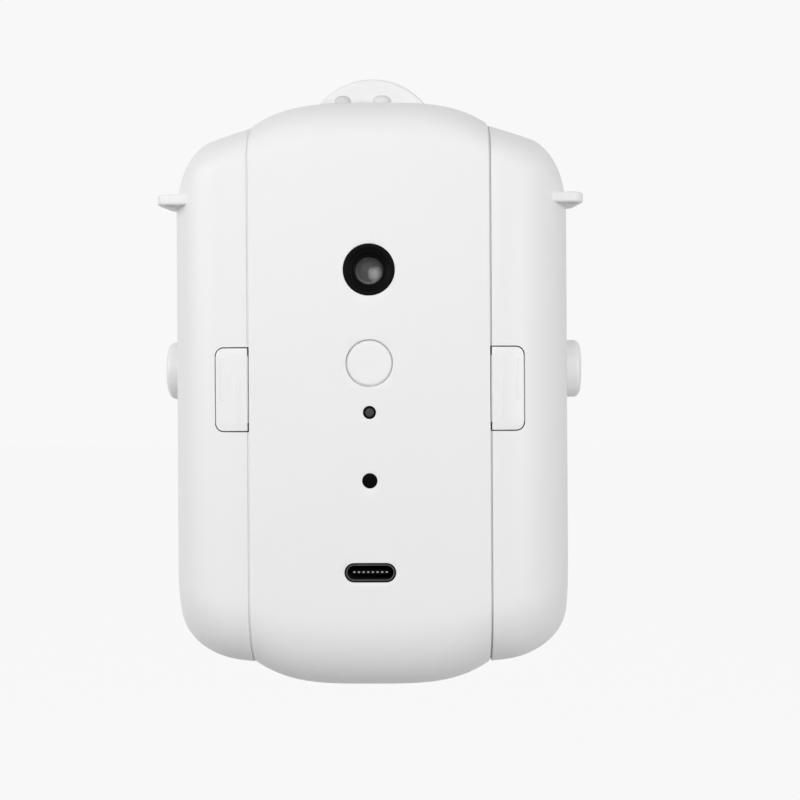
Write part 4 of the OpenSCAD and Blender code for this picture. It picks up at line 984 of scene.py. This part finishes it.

# %% [markdown]
# ## Charging inlet
#
# A drawn steel sleeve, drawn in at its rim, is set half a millimetre behind the panel. Its steel is coloured
# dark:
# painted shade for the shadowed rim and the dark gap that it reflects. A black ring around it paints the
# shade in that gap. Inside stands a black tongue, and the pale ends of eight contacts show at its nose. The
# row repeats, so a node tree lays it.

# %% Inlet sleeve and tongue
SLEEVE_T, SLEEVE_Y, BOARD_Y = 0.3, FRONT_Y + 0.5, -17.0
INLET_SHADE_Y, INLET_SHADE_END_Y, INLET_SHADE_GROW = FRONT_Y + 0.4, FRONT_Y + 1.8, USB_GAP - 0.01
TONGUE_W, TONGUE_H, TONGUE_Y, TONGUE_END_Y = 6.7, 0.7, FRONT_Y + 1.3, -18.0
TONGUE_SOFT, TONGUE_SOFT_ANGLE = 0.12, 30
INLET_BACK_Y, INLET_BACK_GAP = -18.2, 0.02
inlet = stadium(USB_W, USB_H, USB_Z)
drawn = [(BOARD_Y, 0), (SLEEVE_Y + 0.9, 0), (SLEEVE_Y + 0.5, -0.1), (SLEEVE_Y + 0.05, -0.15),
         (SLEEVE_Y, -0.19), (SLEEVE_Y, -0.26), (SLEEVE_Y + 0.05, -SLEEVE_T), (BOARD_Y, -SLEEVE_T)]
hand_over(dress(bar("inlet_sleeve", inlet, drawn, True), SHADED_STEEL), "body", "steel", "usb_shell")
# A black ring between the sleeve and the panel: it paints the shade in that gap.
moulding = [(INLET_SHADE_END_Y, 0.02), (FRONT_Y + 1.3, 0.02), (FRONT_Y + 0.7, -0.06), (FRONT_Y + 0.45, -0.06),
            (INLET_SHADE_Y, -0.02), (INLET_SHADE_Y, INLET_SHADE_GROW), (INLET_SHADE_END_Y, INLET_SHADE_GROW)]
hand_over(dress(bar("inlet_shade_ring", inlet, moulding, True), BLACK_SATIN), "body", "black_plastic")

tongue = block("inlet_tongue", *zip(about(0, TONGUE_W / 2), (TONGUE_Y, TONGUE_END_Y),
                                    about(USB_Z, TONGUE_H / 2)))
soften(tongue, TONGUE_SOFT, TONGUE_SOFT_ANGLE)
inner_w, inner_h = (size - 2 * SLEEVE_T - INLET_BACK_GAP for size in (USB_W, USB_H))
merge(tongue, [bar("inlet_back", stadium(inner_w, inner_h, USB_Z), [(INLET_BACK_Y, 0), (BOARD_Y, 0)])])
hand_over(dress(tongue, BLACK_SATIN), "body", "black_plastic", "usb_tongue")


# %% Contact tree
def contact_tree():
    tree, sizes = new_tree("contact_row", [("Count", "Int"), ("Pitch", "Float"), ("Contact", "Vector"),
                                           ("Middle", "Vector"), ("Finish", "Material")])
    count, pitch = sizes["Count"], sizes["Pitch"]
    start = count.node("ShaderNodeCombineXYZ", {}, {0: (1 - count) * pitch * 0.5})
    step = count.node("ShaderNodeCombineXYZ", {}, {0: pitch})
    line = count.node("GeometryNodeMeshLine", {"mode": "OFFSET"},
                      {"Count": count, "Start Location": start, "Offset": step})
    contact = line.node("GeometryNodeMeshCube", {}, {"Size": sizes["Contact"]})
    row = line.node("GeometryNodeInstanceOnPoints", {}, {"Points": line, "Instance": contact})
    moved = row.node("GeometryNodeTransform", {}, {"Geometry": row, "Translation": sizes["Middle"]})
    return close_tree(tree, moved, sizes["Finish"])


CONTACT_COUNT, CONTACT_PITCH, CONTACT_PROUD = 8, 0.83, 0.06
CONTACT_W, CONTACT_LEN, CONTACT_H = 0.34, 4.2, 0.24
contacts = run_tree(empty_mesh("inlet_contacts"), contact_tree(), Count=CONTACT_COUNT,
                    Pitch=CONTACT_PITCH * MM, Finish=SATIN_NICKEL,
                    Contact=(CONTACT_W * MM, CONTACT_LEN * MM, CONTACT_H * MM),
                    Middle=placed(0, TONGUE_Y + CONTACT_LEN / 2 - CONTACT_PROUD, USB_Z))
hand_over(dress(contacts, SATIN_NICKEL), "body", "steel")

# %% [markdown]
# ## Small heads on top
#
# In front of the wheel two small heads rise behind the edge of the shell: a screw with a socket, and a plain
# round pin. They are turned about upright axes.

# %% Top screw and pin
HEAD_SHANK_R, HEAD_SHANK_Z, HEAD_STRAIGHT = 0.9, 47.8, 0.45


def head_profile(radius, socket):
    """Profile of a domed head on its shank, with a socket in its top or plain."""
    straight = HEAD_H * HEAD_STRAIGHT
    dome = [(radius, HEAD_SEAT_Z), (radius, HEAD_SEAT_Z + straight)]
    dome += [(radius * math.cos(a), HEAD_SEAT_Z + straight + (HEAD_H - straight) * math.sin(a))
             for a in (math.radians(12 * k) for k in range(1, 7 if socket else 8))]
    if socket:
        top = dome[-1][1]
        dome += [(radius * 0.3, top + 0.03), (radius * 0.26, top - 0.1), (radius * 0.25, top - 0.8),
                 (0, top - 0.8)]
    else:
        dome += [(0, HEAD_SEAT_Z + HEAD_H)]
    return [(0, HEAD_SHANK_Z), (HEAD_SHANK_R, HEAD_SHANK_Z), (HEAD_SHANK_R, HEAD_SEAT_Z)] + dome


# The pin's grey finish is painted shade on the shell's white plastic.
for (node, (x, radius)), finish, slot in zip(HEADS.items(), (PAINTED, PIN_SHADE_GREY), ("steel", "grey_plastic")):
    head = lathe(node + "_head", head_profile(radius, node == "top_screw"), (x, HEAD_Y, 0), "Z", 64)
    hand_over(dress(head, finish), "body", slot, node)

# %% [markdown]
# ## Case screws
#
# Three pan-head screws close the case from behind. One screw is made in a node tree, with its cross cut by a
# Mesh Boolean, and set on three points.


# %% Screw tree
def screw_tree():
    tree, sizes = new_tree("cross_screws", [("Head Radius", "Float"), ("Head Height", "Float"),
                                            ("Shank Radius", "Float"), ("Shank Length", "Float"),
                                            ("Cross", "Vector"), ("Finish", "Material")])
    head_r, head_h, length = sizes["Head Radius"], sizes["Head Height"], sizes["Shank Length"]

    def raised(shape, height, turn=0.0):
        lift = shape.node("ShaderNodeCombineXYZ", {}, {2: height})
        return shape.node("GeometryNodeTransform", {},
                          {"Geometry": shape, "Translation": lift, "Rotation": (0, 0, turn)})

    head = head_r.node("GeometryNodeMeshCylinder", {}, {"Vertices": 48, "Radius": head_r, "Depth": head_h})
    head = raised(head, head_h * 0.5)
    shank = head_r.node("GeometryNodeMeshCylinder", {},
                        {"Vertices": 32, "Radius": sizes["Shank Radius"], "Depth": length})
    cross = head_r.node("GeometryNodeMeshCube", {}, {"Size": sizes["Cross"]})
    for turn in (0.0, math.pi / 2):
        head = head.node("GeometryNodeMeshBoolean", {"operation": "DIFFERENCE", "solver": "MANIFOLD"},
                         {"Mesh 1": head, "Mesh 2": raised(cross, head_h, turn)})
    whole = head.node("GeometryNodeJoinGeometry")
    for wire in (head, raised(shank, length * -0.5)):
        tree.links.new(wire.socket, whole.socket.node.inputs[0])
    outward = whole.node("GeometryNodeTransform", {}, {"Geometry": whole, "Rotation": (-math.pi / 2, 0, 0)})
    screws = outward.node("GeometryNodeInstanceOnPoints", {},
                          {"Points": sizes["Geometry"], "Instance": outward})
    return close_tree(tree, screws, sizes["Finish"])


points = bpy.data.meshes.new("case_screw_seats")
points.from_pydata([placed(x, seat, z) for x, z, seat in CASE_SCREWS], [], [])
screws = run_tree(to_object("cross_case_screws", points), screw_tree(), Finish=STEEL,
                  **{"Head Radius": 2.2 * MM, "Head Height": 1.8 * MM, "Shank Radius": 1.25 * MM,
                     "Shank Length": 23.8 * MM, "Cross": (2.6 * MM, 0.55 * MM, 2.2 * MM)})
hand_over(dress(screws, STEEL, 30), "body", "steel", "case_screws")

# %% [markdown]
# ## Coil springs
#
# In the CAD the four return springs are plain sleeves. Here a Spiral curve with a round section gives their
# turns. A spring is squeezed when its tab or button is pressed.


# %% Spring tree
def spring_tree():
    tree, sizes = new_tree("coil_spring", [("Turns", "Float"), ("Coil Radius", "Float"), ("Length", "Float"),
                                           ("Wire Radius", "Float"), ("Foot", "Vector"), ("Turned", "Vector"),
                                           ("Finish", "Material")])
    radius = sizes["Coil Radius"]
    coil = radius.node("GeometryNodeCurveSpiral", {},
                       {"Resolution": 28, "Rotations": sizes["Turns"], "Start Radius": radius,
                        "End Radius": radius, "Height": sizes["Length"]})
    section = radius.node("GeometryNodeCurvePrimitiveCircle", {},
                          {"Resolution": 10, "Radius": sizes["Wire Radius"]})
    wire = coil.node("GeometryNodeCurveToMesh", {},
                     {"Curve": coil, "Profile Curve": section, "Fill Caps": True})
    placed_coil = wire.node("GeometryNodeTransform", {}, {"Geometry": wire, "Translation": sizes["Foot"],
                                                          "Rotation": sizes["Turned"]})
    return close_tree(tree, placed_coil, sizes["Finish"])


COIL = spring_tree()
TAB_SPRING_X, TAB_SPRING_Y, TAB_SPRING_LEN = 25.6, FLANGE_Y, 5.0
TAB_TURNS, TAB_COIL_R, TAB_WIRE_R = 4.5, 1.5, 0.3
KNOB_SPRING_X, KNOB_SPRING_LEN = 29.7, 3.4
KNOB_TURNS, KNOB_COIL_R, KNOB_WIRE_R = 2.0, 2.8, 0.35


def coil_spring(name, turns, coil_r, wire_r, length, foot, turned):
    """A spring whose outermost turns lie just inside its length."""
    spring = run_tree(empty_mesh(name), COIL, Turns=turns, Length=(length - 2 * wire_r) * MM, Foot=foot,
                      Turned=turned, Finish=STEEL, **{"Coil Radius": coil_r * MM, "Wire Radius": wire_r * MM})
    return dress(spring, STEEL)


for side, sign in SIDES:
    foot = placed(sign * TAB_SPRING_X, TAB_SPRING_Y + TAB_WIRE_R, TAB_Z)
    spring = coil_spring(side + "_tab_coil", TAB_TURNS, TAB_COIL_R, TAB_WIRE_R, TAB_SPRING_LEN, foot,
                         (-math.pi / 2, 0, 0))
    hand_over(spring, side + "_wing_unit", "steel", side + "_tab_spring")
    placed(sign * TAB_SPRING_X, TAB_SPRING_Y + TAB_SPRING_LEN, TAB_Z)
    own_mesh(spring)
    foot = placed(sign * (KNOB_SPRING_X + KNOB_WIRE_R), 0, KNOB_Z)
    spring = coil_spring(side + "_knob_coil", KNOB_TURNS, KNOB_COIL_R, KNOB_WIRE_R, KNOB_SPRING_LEN, foot,
                         (0, sign * math.pi / 2, 0))
    hand_over(spring, side + "_wing_unit", "steel", side + "_button_spring")
    placed(sign * KNOB_SPRING_X, 0, KNOB_Z)
    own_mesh(spring)

# %% [markdown]
# ## The rest of the frame
#
# Everything else is inside. The CAD solids of the gears, the motor, the cells, the board and the slides have
# the right shapes already, so they stay, and take a finish by the material slot that the record gives them.

# %% Finishes for the CAD nodes
SLOT_FINISH = {"white_shell": SHELL_WHITE, "white_button": SMOOTH_WHITE, "white_rubber": RUBBER_WHITE,
               "black_plastic": BLACK_SATIN, "grey_plastic": FRAME_GREY, "dark_lens": LENS_DARK,
               "indicator_grey": PIPE_GREY, "board_green": BOARD_GREEN, "steel": STEEL, "bronze": BRONZE,
               "cell_wrap": CELL_WRAP, "gear_white": GEAR_WHITE}
kept = 0
for part in frame["record"]["subparts"]:
    node = frame["nodes"][part["node"]]
    finish = LAMP_PALE if part["node"] == "led_chip" else SLOT_FINISH[part["material_slot"]]
    for slot in node.material_slots:
        slot.material = finish
    kept += not node.hide_render
print("CAD nodes that show:", kept)

# %% [markdown]
# ## Floor, backdrop and light
#
# The robot hangs in an even, pale room. A soft lamp stands close in front, a little above, so that its light
# falls off towards the bottom. Larger ones stand to the left and the right, a slim one draws the bright line
# along the right wing, and the room itself gives the rest. The background is painted only for rays that come
# straight from the camera, a mirror or glass, so it adds no light to the object.

# %% Room
PAPER, ROOM_LIGHT = 0.9387, 0.36
FLOOR_GLOW, FLOOR_SEEN, FLOOR_GREYS = 1.065, 0.85, (0.48, 0.5)


def seen_directly(wire):
    """1 for rays from the camera, from mirrors and through glass."""
    path = wire.tree.nodes.new("ShaderNodeLightPath")
    rays = [Wire(wire.tree, path.outputs[k])
            for k in ("Is Camera Ray", "Is Glossy Ray", "Is Transmission Ray")]
    both = wire.maths("MAXIMUM", rays[0], rays[1])
    return wire.maths("MAXIMUM", both, rays[2])


world = bpy.data.worlds.new("pale_room")
world.use_nodes = True
bpy.context.scene.world = world
sky = world.node_tree.nodes["Background"]
seen = seen_directly(Wire(world.node_tree, None))
level = seen * (PAPER - ROOM_LIGHT) + ROOM_LIGHT
sky.inputs["Color"].default_value = (1, 1, 1, 1)
world.node_tree.links.new(level.socket, sky.inputs["Strength"])

FLOOR_Z, FLOOR_HALF = -0.42, 12.0
floor_mesh = bpy.data.meshes.new("floor")
corners = [(sx * FLOOR_HALF, sy * FLOOR_HALF, FLOOR_Z) for sx, sy in ((-1, -1), (1, -1), (1, 1), (-1, 1))]
floor_mesh.from_pydata(corners, [], [(0, 1, 2, 3)])
floor = to_object("floor", floor_mesh)
paper, paper_shader, paper_place = new_finish("floor_paper", Roughness=0.9, Specular_IOR_Level=0.0)
plug(paper_shader, Base_Color=tint(speckle(paper_place, 6.0), *map(shade, FLOOR_GREYS)))
glow = paper_place.node("ShaderNodeEmission", {}, {"Color": (1, 1, 1, 1), "Strength": FLOOR_GLOW})
own = Wire(paper.node_tree, paper_shader.outputs[0])
mixed = glow.node("ShaderNodeMixShader", {}, {0: seen_directly(paper_place) * FLOOR_SEEN, 1: own, 2: glow})
paper.node_tree.links.new(mixed.socket, paper.node_tree.nodes["Material Output"].inputs["Surface"])
floor_mesh.materials.append(paper)
print("floor at", FLOOR_Z, "m")

# %% Lamps
AIM = Vector((0, 0, MID_Z * MM))


def softbox(name, place, width, height, watts):
    """A rectangular lamp that faces the robot."""
    lamp = bpy.data.lights.new(name, "AREA")
    lamp.shape, lamp.size, lamp.size_y, lamp.energy = "RECTANGLE", width, height, watts
    box = bpy.data.objects.new(name, lamp)
    place = Vector(place) + AIM
    turn = (AIM - place).to_track_quat("-Z", "Y").to_matrix().to_4x4()
    box.matrix_world = Matrix.Translation(place) @ turn
    bpy.context.collection.objects.link(box)
    print(name, "at", tuple(round(v, 2) for v in place), watts, "W")


softbox("front", (-0.06, -0.36, 0.13), 0.3, 0.16, 0.42)
softbox("left", (-0.9, -0.3, 0.27), 0.6, 0.6, 4.0)
softbox("right", (0.95, -0.7, 0.1), 0.3, 0.8, 2.0)
softbox("line", (0.6, -0.8, 0.06), 0.05, 0.2, 2.2)
